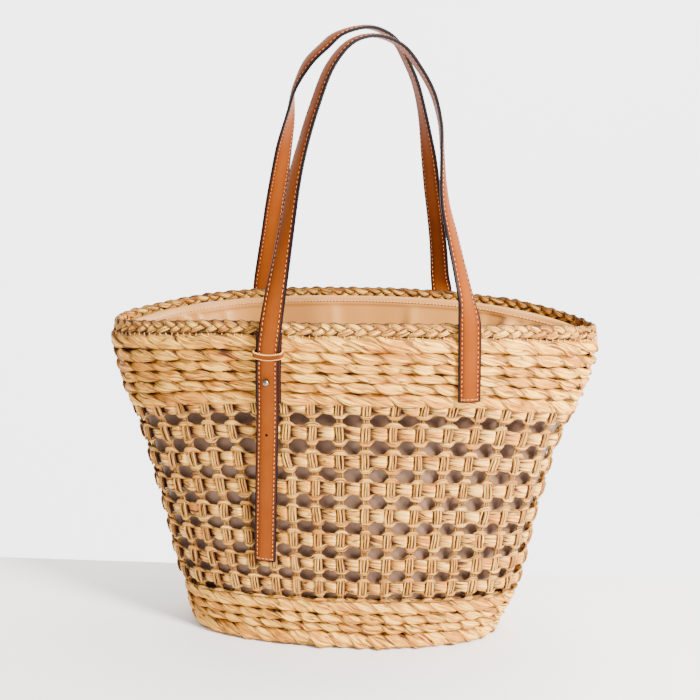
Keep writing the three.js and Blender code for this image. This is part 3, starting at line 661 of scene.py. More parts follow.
def stake_sway(number, height):
    """How far a stake strays along the wall at a height, in shares of the way round."""
    rng = np.random.default_rng(24)
    drifts = rng.normal(size=(STAKES, SWAY_KNOTS)) * STAKE_SWAY / STAKES
    spans = SWAY_KNOTS - 1
    low = np.clip(np.asarray(height) / RIM_HEIGHT * spans, 0, spans - 0.001)
    knot = np.floor(low).astype(int)
    part = low - knot
    stake = number % STAKES
    return drifts[stake, knot] * (1 - part) + drifts[stake, knot + 1] * part


def net_pads():
    """The flat pads between the stakes, row by row, each dipping in behind the next."""
    rng = np.random.default_rng(21)
    strands = Strands()
    cell = np.tile(PAD_STATIONS, STAKES)
    number = np.repeat(np.arange(STAKES), len(PAD_STATIONS))
    share = (number + 0.5 + cell) / STAKES
    rise = along_cell(cell, PAD_RISE)
    full = along_cell(cell, PAD_FULLNESS)
    shade = along_cell(cell, PAD_SHADE)[:, None]
    rolled = 0.5 * rolled_edges(PAD_SIDES, 3, 2.2)
    ends = smooth_step(0, 0.15, cell)
    for row, half_height in zip(NET_ROWS, pad_half_heights()):
        wander = soft_noise(rng, share, [4, 7, 13], NET_WANDER)
        proudest = PAD_PROUDEST + per_stake(rng, number, 0.35 * MM)
        slant = (0.45 - cell) * (1.3 * MM + per_stake(rng, number, 0.5 * MM))
        height = row + wander + slant * ends * smooth_step(1, 0.85, cell)
        place = share + stake_sway(number, height) * (1 - cell) + stake_sway(number + 1, height) * cell
        point, _, up, out = wall_frame(place, height, PAD_DEEPEST + (proudest - PAD_DEEPEST) * rise)
        half = half_height * full * (1 + per_stake(rng, number, 0.05))
        crumple = pleats(rng, share, PAD_SIDES, [47, 97, 151], 0.2 * MM)
        block = sweep(point, up, out, half, PAD_HALF_THICKNESS, PAD_SIDES, 0.05, crumple)
        tints = 0.35 + 0.65 * rng.random(STAKES)[number % STAKES]
        # Painted shade along each pad and on its rolled edges
        strands.add(block, True, tints, shade=np.maximum(shade, rolled))
    return strands.build("net_pads", [STRAW_NET_LIT])


def gap_rows():
    """Middle height and half height of each row of gaps, from the base band up."""
    halves = pad_half_heights()
    tops = np.concatenate([[BASE_BAND[1]], NET_ROWS + halves])[:-1]
    bottoms = NET_ROWS - halves
    return list(zip((tops + bottoms) / 2, (bottoms - tops) / 2))


def net_swags():
    """The strands that arch over and under each gap and meet at the stakes."""
    rng = np.random.default_rng(22)
    strands = Strands()
    count = STAKES * SWAG_STEPS
    share = (np.arange(count) + 0.5) / count
    cell = share * STAKES - 0.5
    number = np.round(cell).astype(int)
    beside = np.where(cell > number, number + 1, number - 1)
    away = np.abs(cell - number)
    rolled = 0.55 * rolled_edges(SWAG_SIDES, 2, 1.1)
    for middle, half in gap_rows():
        wander = soft_noise(rng, share, [4, 7, 13], NET_WANDER)
        for side in (-1, 1):
            reach = 0.34 + per_stake(rng, number, 0.04)
            spread = smooth_step(0.09, reach, away)
            near = min(0.62 * half, 4 * MM) + per_stake(rng, number, 0.35 * MM)
            lift = near + (half + SWAG_LIFT - near) * spread
            half_width = (0.34 * half + 0.2 * MM) + (SWAG_END_HALF_WIDTH - 0.34 * half) * spread
            half_width = half_width * (1 + per_stake(rng, number, 0.12))
            proud = (2.5 - 1.7 * spread + 0.4 * side * np.sin(TAU * cell)) * MM
            proud = proud + per_stake(rng, number, 0.3 * MM)
            height = middle + side * lift + wander
            place = share + stake_sway(number, height) * (1 - away) + stake_sway(beside, height) * away
            point, _, _, out = wall_frame(place, height, proud)
            wide = unit(np.cross(out, heading(point)))
            crumple = pleats(rng, share, SWAG_SIDES, [43, 89, 131], 0.16 * MM)
            block = sweep(point, wide, out, half_width, SWAG_HALF_THICKNESS, SWAG_SIDES, 0.2, crumple)
            tints = 0.25 + 0.6 * rng.random(STAKES)[number % STAKES]
            # Painted shade: more of it along the gaps' edges away from the stakes, and on the rolled edges
            shade = np.maximum(0.2 + 0.35 * spread[:, None], rolled)
            strands.add(block, True, tints, shade=shade)
    return strands.build("net_swags", [STRAW_NET_LIT])


def net_cords():
    """The upright cords, three to a stake, drawn together between the rows of pads."""
    rng = np.random.default_rng(23)
    strands = Strands()
    bottom = BASE_BAND[1] - 2 * MM
    top = UPPER_BAND[0] + 3 * MM
    heights = np.linspace(bottom, top, CORD_HEIGHTS)
    knots = np.linspace(bottom, top, CORD_KNOTS)
    nearest = np.min(np.abs(heights[:, None] - NET_ROWS[None, :]), axis=1)
    on_row = 1 - smooth_step(CORD_ON_PAD, CORD_OFF_PAD, nearest)
    # Painted shade on the cords' sides over the pads, and half shade between the rows
    shade = rolled_edges(CORD_SIDES, 2.2, 0.9) * on_row[:, None] + 0.5 * (1 - on_row)[:, None]
    for stake in range(STAKES):
        share = (stake + 0.5) / STAKES + stake_sway(np.full(len(heights), stake), heights)
        point, along, _, out = wall_frame(share, heights, 0)
        sway = np.interp(heights, knots, rng.normal(size=CORD_KNOTS) * 0.3 * MM)
        behind = rng.integers(0, 5)
        for lane in (-1, 0, 1):
            gather = 0.72 + 0.28 * on_row + 0.06 * rng.normal()
            wobble = np.interp(heights, knots, rng.normal(size=CORD_KNOTS) * 0.22 * MM)
            aside = lane * CORD_SPACING * gather + wobble + sway
            proud = (0.4 + 2.7 * on_row) * MM + 0.6 * wobble
            if lane + 1 == behind:
                proud = proud - 1.3 * MM * on_row
            centre = point + along * aside[:, None] + out * proud[:, None]
            radius = CORD_RADIUS * (1 + 0.12 * rng.normal()) * (0.9 + 0.32 * on_row)
            block = sweep(centre, along, out, radius, radius, CORD_SIDES)
            strands.add(block, False, 0.15 + 0.7 * rng.random(), shade=shade)
    return strands.build("net_cords", [STRAW_NET_LIT])


for net_piece in (net_pads(), net_swags(), net_cords()):
    finish_piece(net_piece, "net_body")


# Rim braid: three flat strands, the upper edge leaning inwards

BRAID_PITCHES = 84
BRAID_LEAN = 0.3
BRAID_AMPLITUDE = 3.3 * MM
BRAID_DEPTH = 1.8 * MM
BRAID_DROP = 6.7 * MM
BRAID_STAND = 4.6 * MM
BRAID_STEPS = 7
BRAID_SIDES = 10
BRAID_HALF_WIDTH = 3.2 * MM
BRAID_HALF_THICKNESS = 1.2 * MM

# Half width and half thickness of the strand inside the braid, made dark with painted shade
BRAID_CORE = (5.6 * MM, 0.5 * MM)


def rim_braid():
    """Three strands that cross over each other, shaded on the side where each is tucked under."""
    rng = np.random.default_rng(31)
    strands = Strands()
    count = BRAID_PITCHES * BRAID_STEPS
    share = np.arange(count) / count
    wander = soft_noise(rng, share, [3, 7, 11], 0.5 * MM)
    drift = soft_noise(rng, share, [9, 23, 31], 0.22)
    point, _, up, out = wall_frame(share, RIM_HEIGHT - BRAID_DROP + wander, BRAID_STAND)
    sideways = unit(up - BRAID_LEAN * out)
    face = unit(out + BRAID_LEAN * up)
    face_side = np.sign(np.round(strand_section(BRAID_SIDES)[1], 6))[None, :]
    for ply in range(3):
        turn = share * BRAID_PITCHES / 3 + ply / 3 + drift / TAU
        phase = TAU * turn
        aside = BRAID_AMPLITUDE * np.sin(phase)
        depth = -BRAID_DEPTH * np.sin(2 * phase)
        centre = point + sideways * aside[:, None] + face * depth[:, None]
        broad = unit(np.cross(face, heading(centre)))
        number = np.floor(2 * turn + 0.5).astype(int) % (BRAID_PITCHES * 2 // 3)
        half_width = BRAID_HALF_WIDTH * (1 + 0.1 * rng.normal(size=BRAID_PITCHES))[number]
        crumple = pleats(rng, share, BRAID_SIDES, [29, 61, 97], 0.17 * MM)
        block = sweep(centre, broad, face, half_width, BRAID_HALF_THICKNESS, BRAID_SIDES, 0.1, crumple)
        tints = rng.random(BRAID_PITCHES)[number]
        # Painted shade where a strand is tucked under, on the face where it is hidden, and on its rolled
        # edges
        tucked = np.clip(-0.2 + np.sin(2 * phase)[:, None] * face_side, 0, 1)
        shade = np.maximum(0.62 * tucked, rolled_edges(BRAID_SIDES, 2.6, 1.6))
        strands.add(block, True, tints, shade=shade)
    few = slice(None, None, 3)
    core = sweep(point[few], sideways[few], face[few], *BRAID_CORE, CORE_SIDES)
    strands.add(core, True, CORE_TINT, shade=CORE_SHADE)
    return strands.build("rim_braid_strands", [STRAW_BRAID_SHADED])


finish_piece(rim_braid(), "rim_braid")


# Woven floor: rings of two-ply rope from the edge towards the middle

RING_WIDTH = 8.4 * MM
RING_COUNT = 7
RING_STEPS = 8
RING_SIDES = 8
RING_PLY_SWING = 0.9 * MM
RING_PLY_HALF_THICKNESS = 1.0 * MM


def floor_weave():
    """The rings, held between the table and the floor's upper face."""
    rng = np.random.default_rng(41)
    strands = Strands()
    for ring in range(RING_COUNT):
        inset = FLOOR_INSET + RING_WIDTH * (ring + 0.5)
        stitches = int(round(STAKES * (1 - 0.75 * ring / RING_COUNT) / 2)) * 2
        count = stitches * RING_STEPS
        share = np.arange(count) / count
        path = wall_point(angle_at(share), 0, -inset)
        path[:, 2] = FLOOR_TOP / 2
        up = np.tile(np.array([0.0, 0.0, 1.0]), (count, 1))
        out = np.cross(heading(path), up)
        for ply in range(2):
            phase = TAU * (ply / 2 - share * stitches / 2)
            radial = np.cos(phase)[:, None] * -up + np.sin(phase)[:, None] * out
            sideways = -np.sin(phase)[:, None] * -up + np.cos(phase)[:, None] * out
            centre = path + radial * RING_PLY_SWING
            block = sweep(centre, sideways, radial, RING_WIDTH * 0.46, RING_PLY_HALF_THICKNESS, RING_SIDES)
            block[:, :, 2] = np.clip(block[:, :, 2], 0.0, FLOOR_TOP)
            strands.add(block, True, 0.3 + 0.4 * rng.random())
    return strands.build("base_floor_weave", [STRAW])


finish_piece(floor_weave(), "base_floor")


# Lining: a thin cup with upright folds, a hem and its stitches

LINING_THICKNESS = 1 * MM
LINING_CLEARANCE = 0.8 * MM
LINING_TOP = 305 * MM
FOLD_DEPTH = 9 * MM
HEM_DROP = 8 * MM
HEM_STITCH_DROP = 4.6 * MM

# The lining's pull-in behind the front's upper gaps: depth, height and reach up and down
SLACK_DEPTH = 8 * MM
SLACK_HEIGHT = 224 * MM
SLACK_REACH = 30 * MM

# The cup's columns and levels, and how far its floor's rings lie inside its wall in millimetres
LINING_COLUMNS = 480
LINING_LEVELS = 24
FLOOR_INSETS = [0.8, 6, 20, 45]
EDGE_STAND = -3.4 * MM

# The slow waves of the cloth, in counts round the bag
RIPPLE = 0.35 * MM
RIPPLE_WAVES = (9, 14, 22, 31)
RIPPLE_HEIGHT = 60 * MM

# Folds: place round the bag, depth as a share of FOLD_DEPTH, and width in shares of the way round.
# The broad ones run from rim to floor, the narrow ones from under the hem into the net.
LINING_FOLDS = [
    (0.06, 0.5, 0.04),
    (0.22, 0.4, 0.06),
    (0.38, 0.5, 0.05),
    (0.44, 1, 0.05),
    (0.58, 1, 0.05),
    (0.68, 0.4, 0.06),
    (0.8, 0.5, 0.06),
    (0.9, 0.8, 0.04),
    (0.95, 0.6, 0.03),
]
NARROW_FOLDS = [
    (0.962, 0.5, 0.01),
    (0.924, 1, 0.009),
    (0.91, 0.5, 0.006),
    (0.88, 0.25, 0.009),
    (0.83, 0.3, 0.01),
    (0.77, 0.2, 0.012),
    (0.69, 0.25, 0.012),
    (0.62, 0.3, 0.01),
    (0.588, 1, 0.014),
    (0.572, 0.5, 0.008),
    (0.55, 0.3, 0.008),
]


def fold_depth(share, folds):
    """The sum of smooth upright folds, in shares of FOLD_DEPTH."""
    depth = np.zeros_like(share)
    for around, size, width in folds:
        depth = depth + size * np.exp(-4 * ((share - around) / width) ** 2)
    return depth


def lining_proud(share, height):
    """How far the lining stands out from the wall's face: always inwards, with its folds."""
    rng = np.random.default_rng(51)
    drop = LINING_TOP - height
    ripple = 0
    for wave in RIPPLE_WAVES:
        ripple = ripple + np.sin(TAU * (wave * share + rng.random()) + height / RIPPLE_HEIGHT * rng.normal())
    fade = smooth_step(0, 30 * MM, drop)
    below_hem = smooth_step(HEM_DROP - 2 * MM, HEM_DROP + 6 * MM, drop)
    crisp_fade = below_hem * smooth_step(240 * MM, 120 * MM, drop)
    front = smooth_step(0.02, 0.12, share) * smooth_step(0.49, 0.42, share)
    slack = SLACK_DEPTH * front * np.exp(-((height - SLACK_HEIGHT) / SLACK_REACH) ** 2)
    depth = fold_depth(share, LINING_FOLDS) * FOLD_DEPTH * (0.35 + 0.65 * fade)
    depth = depth + RIPPLE * ripple * fade + slack
    depth = depth + fold_depth(share, NARROW_FOLDS) * FOLD_DEPTH * crisp_fade
    return -NET_THICKNESS - LINING_CLEARANCE - np.maximum(depth, 0)


def lining_rings():
    """The cup's rings of points from the middle of the floor up to the rim."""
    share = np.arange(LINING_COLUMNS) / LINING_COLUMNS
    angle = angle_at(share)
    hem = LINING_TOP - HEM_DROP
    floors = []
    for inset in FLOOR_INSETS:
        ring = wall_point(angle, 0, -NET_THICKNESS - LINING_CLEARANCE - inset * MM)
        ring[:, 2] = FLOOR_TOP + CLEARANCE + LINING_THICKNESS
        floors.append(ring)
    levels = [(height, 0) for height in np.linspace(FLOOR_TOP + 4 * MM, hem - 3 * MM, LINING_LEVELS)]
    levels += [(hem - 0.5 * MM, 0), (hem, -0.6), (hem + 1.5 * MM, -0.6), (LINING_TOP - 2 * MM, -0.2)]
    rings = []
    for height, stand in levels:
        proud = lining_proud(share, np.full(LINING_COLUMNS, height)) + stand * MM
        rings.append(wall_point(angle, height, proud))
    rings.append(wall_point(angle, LINING_TOP, EDGE_STAND))
    return np.array(floors[::-1] + rings)


def lining():
    """The cup and its cloth laid flat: how wide and long it was cut, and its area."""
    grid = lining_rings()
    faces = [tuple(range(LINING_COLUMNS))]
    for level in range(len(grid) - 1):
        low = level * LINING_COLUMNS
        high = low + LINING_COLUMNS
        for k in range(LINING_COLUMNS):
            n = (k + 1) % LINING_COLUMNS
            faces.append((low + n, low + k, high + k, high + n))
    mesh = bpy.data.meshes.new("lining_cup")
    mesh.from_pydata([tuple(p) for p in grid.reshape(-1, 3)], [], faces)
    for finish in (CLOTH, CLOTH_BACK_SHADED):
        mesh.materials.append(finish)
    mesh.update()
    area = sum(polygon.area for polygon in mesh.polygons)
    widest = max(float(np.linalg.norm(np.roll(ring, -1, axis=0) - ring, axis=1).sum()) for ring in grid)
    tallest = float(np.linalg.norm(np.diff(grid, axis=0), axis=2).sum(axis=0).max()) + BASE_HALF_DEPTH
    obj = bpy.data.objects.new("lining_cup", mesh)
    bpy.context.scene.collection.objects.link(obj)
    bpy.context.view_layer.objects.active = obj
    for polygon in mesh.polygons:
        polygon.use_smooth = True
    wall = obj.modifiers.new("wall", "SOLIDIFY")
    wall.thickness = LINING_THICKNESS
    wall.offset = -1
    # The outer face takes the reverse-side cloth with its painted shade
    wall.material_offset = 1
    bpy.ops.object.modifier_apply(modifier="wall")
    return obj, (widest, tallest), area


# Thread: counts, lengths and thicknesses of the hem's and the braid's stitches

HEM_STITCHES = 300
HEM_STITCH = (2.4 * MM, 1 * MM)
BRAID_STITCHES = 170
BRAID_STITCH = (3.2 * MM, 0.8 * MM)
BRAID_STITCH_DROP = 0.3 * MM
BRAID_STITCH_STAND = 8.9 * MM
BEAD_SIDES = 6
BEAD_STEPS = 5


def thread_bead(centre, along, side, face, length, thickness):
    """One thread stitch: a short bead that dips into the cloth or leather at both ends."""
    steps = np.linspace(-1, 1, BEAD_STEPS)
    swell = np.sqrt(np.maximum(0, 1 - 0.8 * steps ** 2))
    path = centre + along * (steps * length / 2)[:, None]
    path = path + face * (thickness * (0.32 * (1 - steps ** 2) - 0.12))[:, None]
    angle = TAU * np.arange(BEAD_SIDES) / BEAD_SIDES
    ring = side * np.cos(angle)[:, None] + face * np.sin(angle)[:, None]
    return path[:, None, :] + ring[None, :, :] * (swell * thickness / 2)[:, None, None]


def stitch_ring(name, seed, points, run, side, face, sway, stitch):
    """A ring of stitches that lie along run, each a little askew towards side."""
    strands = Strands()
    rng = np.random.default_rng(seed)
    for point, ahead, beside, outwards in zip(points, run, side, face):
        tilt = unit(ahead + beside * sway * rng.normal())
        bead = thread_bead(point, tilt, beside, outwards, *stitch)
        strands.add(bead, False, rng.random())
    return strands.build(name, [HEM_THREAD])


def hem_stitches():
    """The stitch line that holds the lining's hem, all the way round inside."""
    share = (np.arange(HEM_STITCHES) + 0.5) / HEM_STITCHES
    height = LINING_TOP - HEM_STITCH_DROP
    proud = lining_proud(share, np.full(HEM_STITCHES, height)) - 0.5 * MM - LINING_THICKNESS
    point, along, up, out = wall_frame(share, height, proud)
    return stitch_ring("lining_hem_stitches", 52, point, along, up, -out, 0.1, HEM_STITCH)


def braid_stitches():
    """The upright thread stitches that sew the braid to the band below it."""
    share = (np.arange(BRAID_STITCHES) + 0.5) / BRAID_STITCHES
    point, along, up, out = wall_frame(share, UPPER_BAND[1] - BRAID_STITCH_DROP, BRAID_STITCH_STAND)
    return stitch_ring("rim_braid_stitches", 53, point, up, along, out, 0.25, BRAID_STITCH)


bpy.ops.object.select_all(action="DESELECT")
cup, cup_size, cup_area = lining()
finish_piece(cup, "lining")
finish_piece(hem_stitches(), None)
finish_piece(braid_stitches(), None)


# Leather handles

STRAP_WIDTH = 20 * MM
STITCH_INSET = 2.9 * MM
PAINTED_END = 1.1 * MM
STRAP_DOME = 0.8 * MM
STRAP_THICKNESS = 3 * MM
HANDLE_RISE = 242 * MM
TAIL_REACH = 226 * MM
TAIL_STAND = 7 * MM
FOOT_LENGTH = 66 * MM
FOOT_LEAN = 1 * MM
TAB_LEG_LEAN = 0.045
RIM_EASE = 2 * MM
TAB_WIDTH = 23 * MM
TAB_THICKNESS = 1.6 * MM
TAB_TOP = RIM_HEIGHT - 8 * MM
TAB_LENGTH = 65 * MM
STUD_HEIGHT = RIM_HEIGHT - 51 * MM
STUD_BACK = 8 * MM
STUD_BALL = 6.5 * MM
KEEPER_MIDDLE = RIM_HEIGHT - 27 * MM
KEEPER_HEIGHT = 5.6 * MM
KEEPER_WALL = 1.4 * MM
KEEPER_ROOM = 0.5 * MM
KEEPER_CORNER = 1.6 * MM
KEEPER_SAG = 2.2 * MM
ADJUSTING_DROP = 102 * MM
HOLE_RADIUS = 1.2 * MM
HOLE_SIDES = 20
PUNCH_LENGTH = 24 * MM
CRISP_ANGLE = 38
TAIL_STEPS = 24
TAB_STEPS = 16
LEG_STEPS = 4
FOOT_STEPS = 5
ARCH_STEPS = 7
BEND_HEIGHTS = [STUD_HEIGHT, STUD_HEIGHT + STUD_BACK, KEEPER_MIDDLE + KEEPER_HEIGHT]

# Routes over the arch from the tab leg to the foot, each handle in its own view: share of half
# the distance between the legs, lean to the middle, rise above the rim, turn in degrees
FRONT_ROUTE = [
    (-0.955, 0.05, 0.075, -17),
    (-0.9, 0.16, 0.207, -34),
    (-0.843, 0.3, 0.36, -45),
    (-0.785, 0.435, 0.506, -51),
    (-0.72, 0.525, 0.607, -57),
    (-0.61, 0.6, 0.74, -60),
    (-0.445, 0.69, 0.89, -62),
    (-0.24, 0.77, 0.971, -65),
    (0, 0.867, 0.989, -66),
    (0.245, 0.945, 0.954, -69),
    (0.44, 0.965, 0.87, -73),
    (0.575, 0.94, 0.785, -77),
    (0.653, 0.85, 0.686, -83),
    (0.68, 0.655, 0.578, -90),
    (0.724, 0.36, 0.412, -105),
    (0.81, 0.18, 0.288, -115),
    (0.896, 0.08, 0.165, -122),
    (0.955, 0.02, 0.075, -132),
]
BACK_ROUTE = [
    (-0.985, 0.04, 0.05, -26),
    (-0.965, 0.13, 0.169, -35),
    (-0.932, 0.24, 0.292, -38),
    (-0.892, 0.365, 0.412, -41),
    (-0.858, 0.49, 0.53, -46),
    (-0.815, 0.59, 0.645, -60),
    (-0.775, 0.637, 0.727, -68),
    (-0.71, 0.67, 0.82, -71),
    (-0.61, 0.705, 0.904, -71),
    (-0.518, 0.74, 0.965, -70),
    (-0.407, 0.785, 1, -68),
    (-0.227, 0.84, 1.02, -64),
    (0.045, 0.94, 0.997, -57),
    (0.2, 0.985, 0.951, -54),
    (0.361, 1, 0.893, -60),
    (0.506, 0.95, 0.8, -79),
    (0.56, 0.86, 0.723, -96),
    (0.597, 0.76, 0.669, -109),
    (0.6625, 0.6, 0.583, -125),
    (0.7375, 0.41, 0.467, -139),
    (0.816, 0.235, 0.347, -146),
    (0.885, 0.1, 0.222, -150),
    (0.952, 0.025, 0.097, -152),
]

# Side, sign of its y, x of the tab leg and of the foot, how far the leg turns in at the rim, route
HANDLES = [
    ("front", 1, -64 * MM, 108 * MM, 1.8 * MM, FRONT_ROUTE),
    ("back", -1, -80 * MM, 96 * MM, 0.4 * MM, BACK_ROUTE),
]


# How far the upper band's crests stand out, in millimetres: at its bottom, and the growth up to
# its middle
CREST_BOTTOM = 6
CREST_GROWTH = 4.5


def crest_proud(height):
    """How far the upper band's crests stand out at a height."""
    share = (height - UPPER_BAND[0]) / (UPPER_BAND[1] - UPPER_BAND[0])
    return (CREST_BOTTOM + CREST_GROWTH * float(np.clip(share * 2, 0, 1))) * MM


def own_wall_point(half, x, height, proud):
    """A point on a handle's own side of the bag, seen in that handle's view."""
    half_width = float(wall_measures(height)[0])
    angle = -math.acos(x / (half_width + proud))
    if half < 0:
        angle += math.pi
    return wall_point(angle, height, proud) * np.array([half, half, 1])


def crest(half, x, height):
    """A point on the upper band's crests."""
    return own_wall_point(half, x, height, crest_proud(height))


def band_frame(half, x, height, stand):
    """A place on the upper band's crests: point, across, up, out."""
    here = crest(half, x, height)
    across = crest(half, x + 1 * MM, height) - here
    across[2] = 0
    across = unit(across)
    up = crest(half, x, UPPER_BAND[1]) - crest(half, x, UPPER_BAND[0])
    up = unit(up - across * np.dot(up, across))
    out = np.cross(across, up)
    return here + out * stand, across, up, out


def tab_stand(height):
    """How far the tab's middle stands off the crests: more where the keeper passes behind it."""
    share = (height - UPPER_BAND[0]) / (BEND_HEIGHTS[1] - UPPER_BAND[0])
    keeper_stand = KEEPER_WALL + 2 * CLEARANCE
    return CLEARANCE + (keeper_stand - CLEARANCE) * float(np.clip(share, 0, 1)) + TAB_THICKNESS / 2


def strap_stand(height):
    """How far the strap's middle stands off the crests, on top of the tab."""
    return tab_stand(height) + TAB_THICKNESS / 2 + CLEARANCE + STRAP_THICKNESS / 2


def tab_leg_x(tab, height):
    """The tab leg leans outwards a little towards its lower end."""
    return tab - (RIM_HEIGHT - height) * TAB_LEG_LEAN


def smooth_path(points, spacing_power=0.25):
    """A function of the station number through points, with even tangents between them."""
    points = np.array(points)

    def at(t):
        i = int(min(max(math.floor(t), 0), len(points) - 2))
        w = t - i
        p1 = points[i]
        p2 = points[i + 1]
        p0 = points[i - 1] if i > 0 else 2 * p1 - p2
        p3 = points[i + 2] if i + 2 < len(points) else 2 * p2 - p1
        d0 = max(np.dot(p0 - p1, p0 - p1) ** spacing_power, 1e-9)
        d1 = max(np.dot(p1 - p2, p1 - p2) ** spacing_power, 1e-9)
        d2 = max(np.dot(p2 - p3, p2 - p3) ** spacing_power, 1e-9)
        t1 = ((p1 - p0) / d0 - (p2 - p0) / (d0 + d1) + (p2 - p1) / d1) * d1
        t2 = ((p2 - p1) / d1 - (p3 - p1) / (d1 + d2) + (p3 - p2) / d2) * d1
        a = 2 * p1 - 2 * p2 + t1 + t2
        b = -3 * p1 + 3 * p2 - 2 * t1 - t2
        return a * w ** 3 + b * w ** 2 + t1 * w + p1

    return at


def strap_place(half, x, height, stand):
    """A strap's place on the band: point, across and out."""
    point, across, _, out = band_frame(half, x, height, stand)
    return point, across, out


def blended(places, steps):
    """Even steps from each place to the next, without the last place."""
    for low, high in zip(places[:-1], places[1:]):
        for share in np.linspace(0, 1, steps, endpoint=False):
            point, across, out = [a + (b - a) * share for a, b in zip(low, high)]
            yield point, unit(across), unit(out)


def arch_frames(tab_leg, foot_leg, tab, foot, route):
    """The free arch from the tab leg's top to the foot's, through the stations of its route."""
    start, end = tab_leg[-1][0], foot_leg[0][0]
    middle = (tab + foot) / 2
    half_span = (foot - tab) / 2
    stations = [place[:2] for place in tab_leg[-2:]]
    for side, lean, rise, turn in route:
        reach = -start[1] + (start[1] - end[1]) * (side + 1) / 2
        angle = math.radians(turn)
        station = np.array([middle + side * half_span, -reach * (1 - lean), RIM_HEIGHT + rise * HANDLE_RISE])
        stations.append((station, np.array([math.cos(angle), math.sin(angle), 0])))
    stations += [place[:2] for place in foot_leg[:2]]
    centre = smooth_path([place for place, _ in stations])
    width = smooth_path([across for _, across in stations], 0)
    frames = []
    for i in range(ARCH_STEPS, ARCH_STEPS * (len(stations) - 2)):
        t = i / ARCH_STEPS
        along = unit(centre(t + 0.01) - centre(t - 0.01))
        across = width(t)
        across = unit(across - along * np.dot(across, along))
        frames.append((centre(t), across, np.cross(across, along)))
    return frames


def handle_frames(half, tab, foot, leg_turn, route):
    """Points, widths and face directions of a strap, from the tail's end to the sewn foot."""
    leg_top = RIM_HEIGHT - RIM_EASE
    tab_leg = []
    for height in [UPPER_BAND[0]] + BEND_HEIGHTS:
        tab_leg.append(strap_place(half, tab_leg_x(tab, height), height, strap_stand(height)))
    tab_leg.append(strap_place(half, tab_leg_x(tab, leg_top) + leg_turn, leg_top, strap_stand(leg_top)))
    foot_leg = []
    for share in np.linspace(0, 1, FOOT_STEPS):
        x = foot - FOOT_LEAN * (1 - share)
        height = leg_top - FOOT_LENGTH * share
        point, across, out = strap_place(half, x, height, CLEARANCE + STRAP_THICKNESS / 2)
        foot_leg.append((point, -across, out))
    tail_bottom = RIM_HEIGHT - TAIL_REACH
    tail_end = own_wall_point(half, tab_leg_x(tab, tail_bottom), tail_bottom, TAIL_STAND)
    tail_top, across, _ = tab_leg[0]
    up = unit(tail_top - tail_end)
    across = unit(across - up * np.dot(across, up))
    out = np.cross(across, up)
    frames = []
    for share in np.linspace(0, 1, TAIL_STEPS, endpoint=False):
        frames.append((tail_end + (tail_top - tail_end) * share, across, out))
    frames += blended(tab_leg, LEG_STEPS)
    frames += arch_frames(tab_leg, foot_leg, tab, foot, route)
    frames += blended(foot_leg, FOOT_STEPS)
    frames.append(foot_leg[-1])
    return [np.array(part) for part in zip(*frames)]


# A strap's face from its edge: rounded corner, shoulder, seam groove and the start of its swell
CORNER_WIDTH = 1.2 * MM
SHOULDER_WIDTH = 1.8 * MM
GROOVE_DEPTH = 0.25 * MM
SWELL_START = 1.1 * MM


def strap_section(width, thickness, dome):
    """Section of a strap: across, out and its tint of dark colour for darker margins and painted shade, and
    how many points a face has.
    """
    half = width / 2
    face = thickness / 2
    seam = half - STITCH_INSET
    corner = min(CORNER_WIDTH, face)
    # Tints: the leather's darker margins beyond the stitches, and painted shade in the seam groove and on
    # the swell towards the stitches
    right_side = [
        (half - corner, face * 0.9, 1),
        (half - SHOULDER_WIDTH, face, 0.75),
        (seam, face - GROOVE_DEPTH, 1),
        (seam - SWELL_START, face + 0.35 * dome, 0.42),
        (seam * 0.55, face + 0.8 * dome, 0.12),
        (0, face + dome, 0),
    ]
    outer = right_side + [(-a, b, c) for a, b, c in right_side[-2::-1]]
    side_left = [(-half, face * 0.45, 1), (-half, -face * 0.45, 1)]
    side_right = [(half, -face * 0.45, 1), (half, face * 0.45, 1)]
    inner = [(-a, -min(b, face), c) for a, b, c in outer]
    return outer + side_left + inner + side_right, len(outer)


def strip(name, points, across, out, width, thickness, dome):
    """A strap or tab with painted edges and ends; its tint is the share of dark colour, for darker margins
    and painted shade.
    """
    section, face_points = strap_section(width, thickness, dome)
    first = PAINTED_END / np.linalg.norm(points[1] - points[0])
    last = PAINTED_END / np.linalg.norm(points[-2] - points[-1])
    parts = []
    for part in (points, across, out):
        near_start = part[:1] + (part[1:2] - part[:1]) * first
        near_end = part[-1:] + (part[-2:-1] - part[-1:]) * last
        parts.append(np.concatenate([part[:1], near_start, part[1:-1], near_end, part[-1:]]))
    points, across, out = [part[:, None, :] for part in parts]
    aside, lift, margin_and_shade = np.array(section).T
    block = points + aside[None, :, None] * across + lift[None, :, None] * out
    painted = np.zeros((len(points) - 1, len(section)), dtype=int)
    painted[:, face_points - 1:face_points + 2] = 1
    painted[:, 2 * face_points + 1:2 * face_points + 4] = 1
    painted[:, -1] = 1
    painted[[0, -1]] = 1
    strands = Strands()
    strands.add(block, False, margin_and_shade[None, :], finish=painted)
    return strands.build(name, [LEATHER, EDGE_PAINT])


# Stitches of the leather: how deep they sit in it, and how far they lean aside
STITCH_PITCH = 4.3 * MM
STITCH_LENGTH = 2.9 * MM
STITCH_THICKNESS = 0.7 * MM
STITCH_SINK = 0.2 * MM
STITCH_SWAY = 0.06


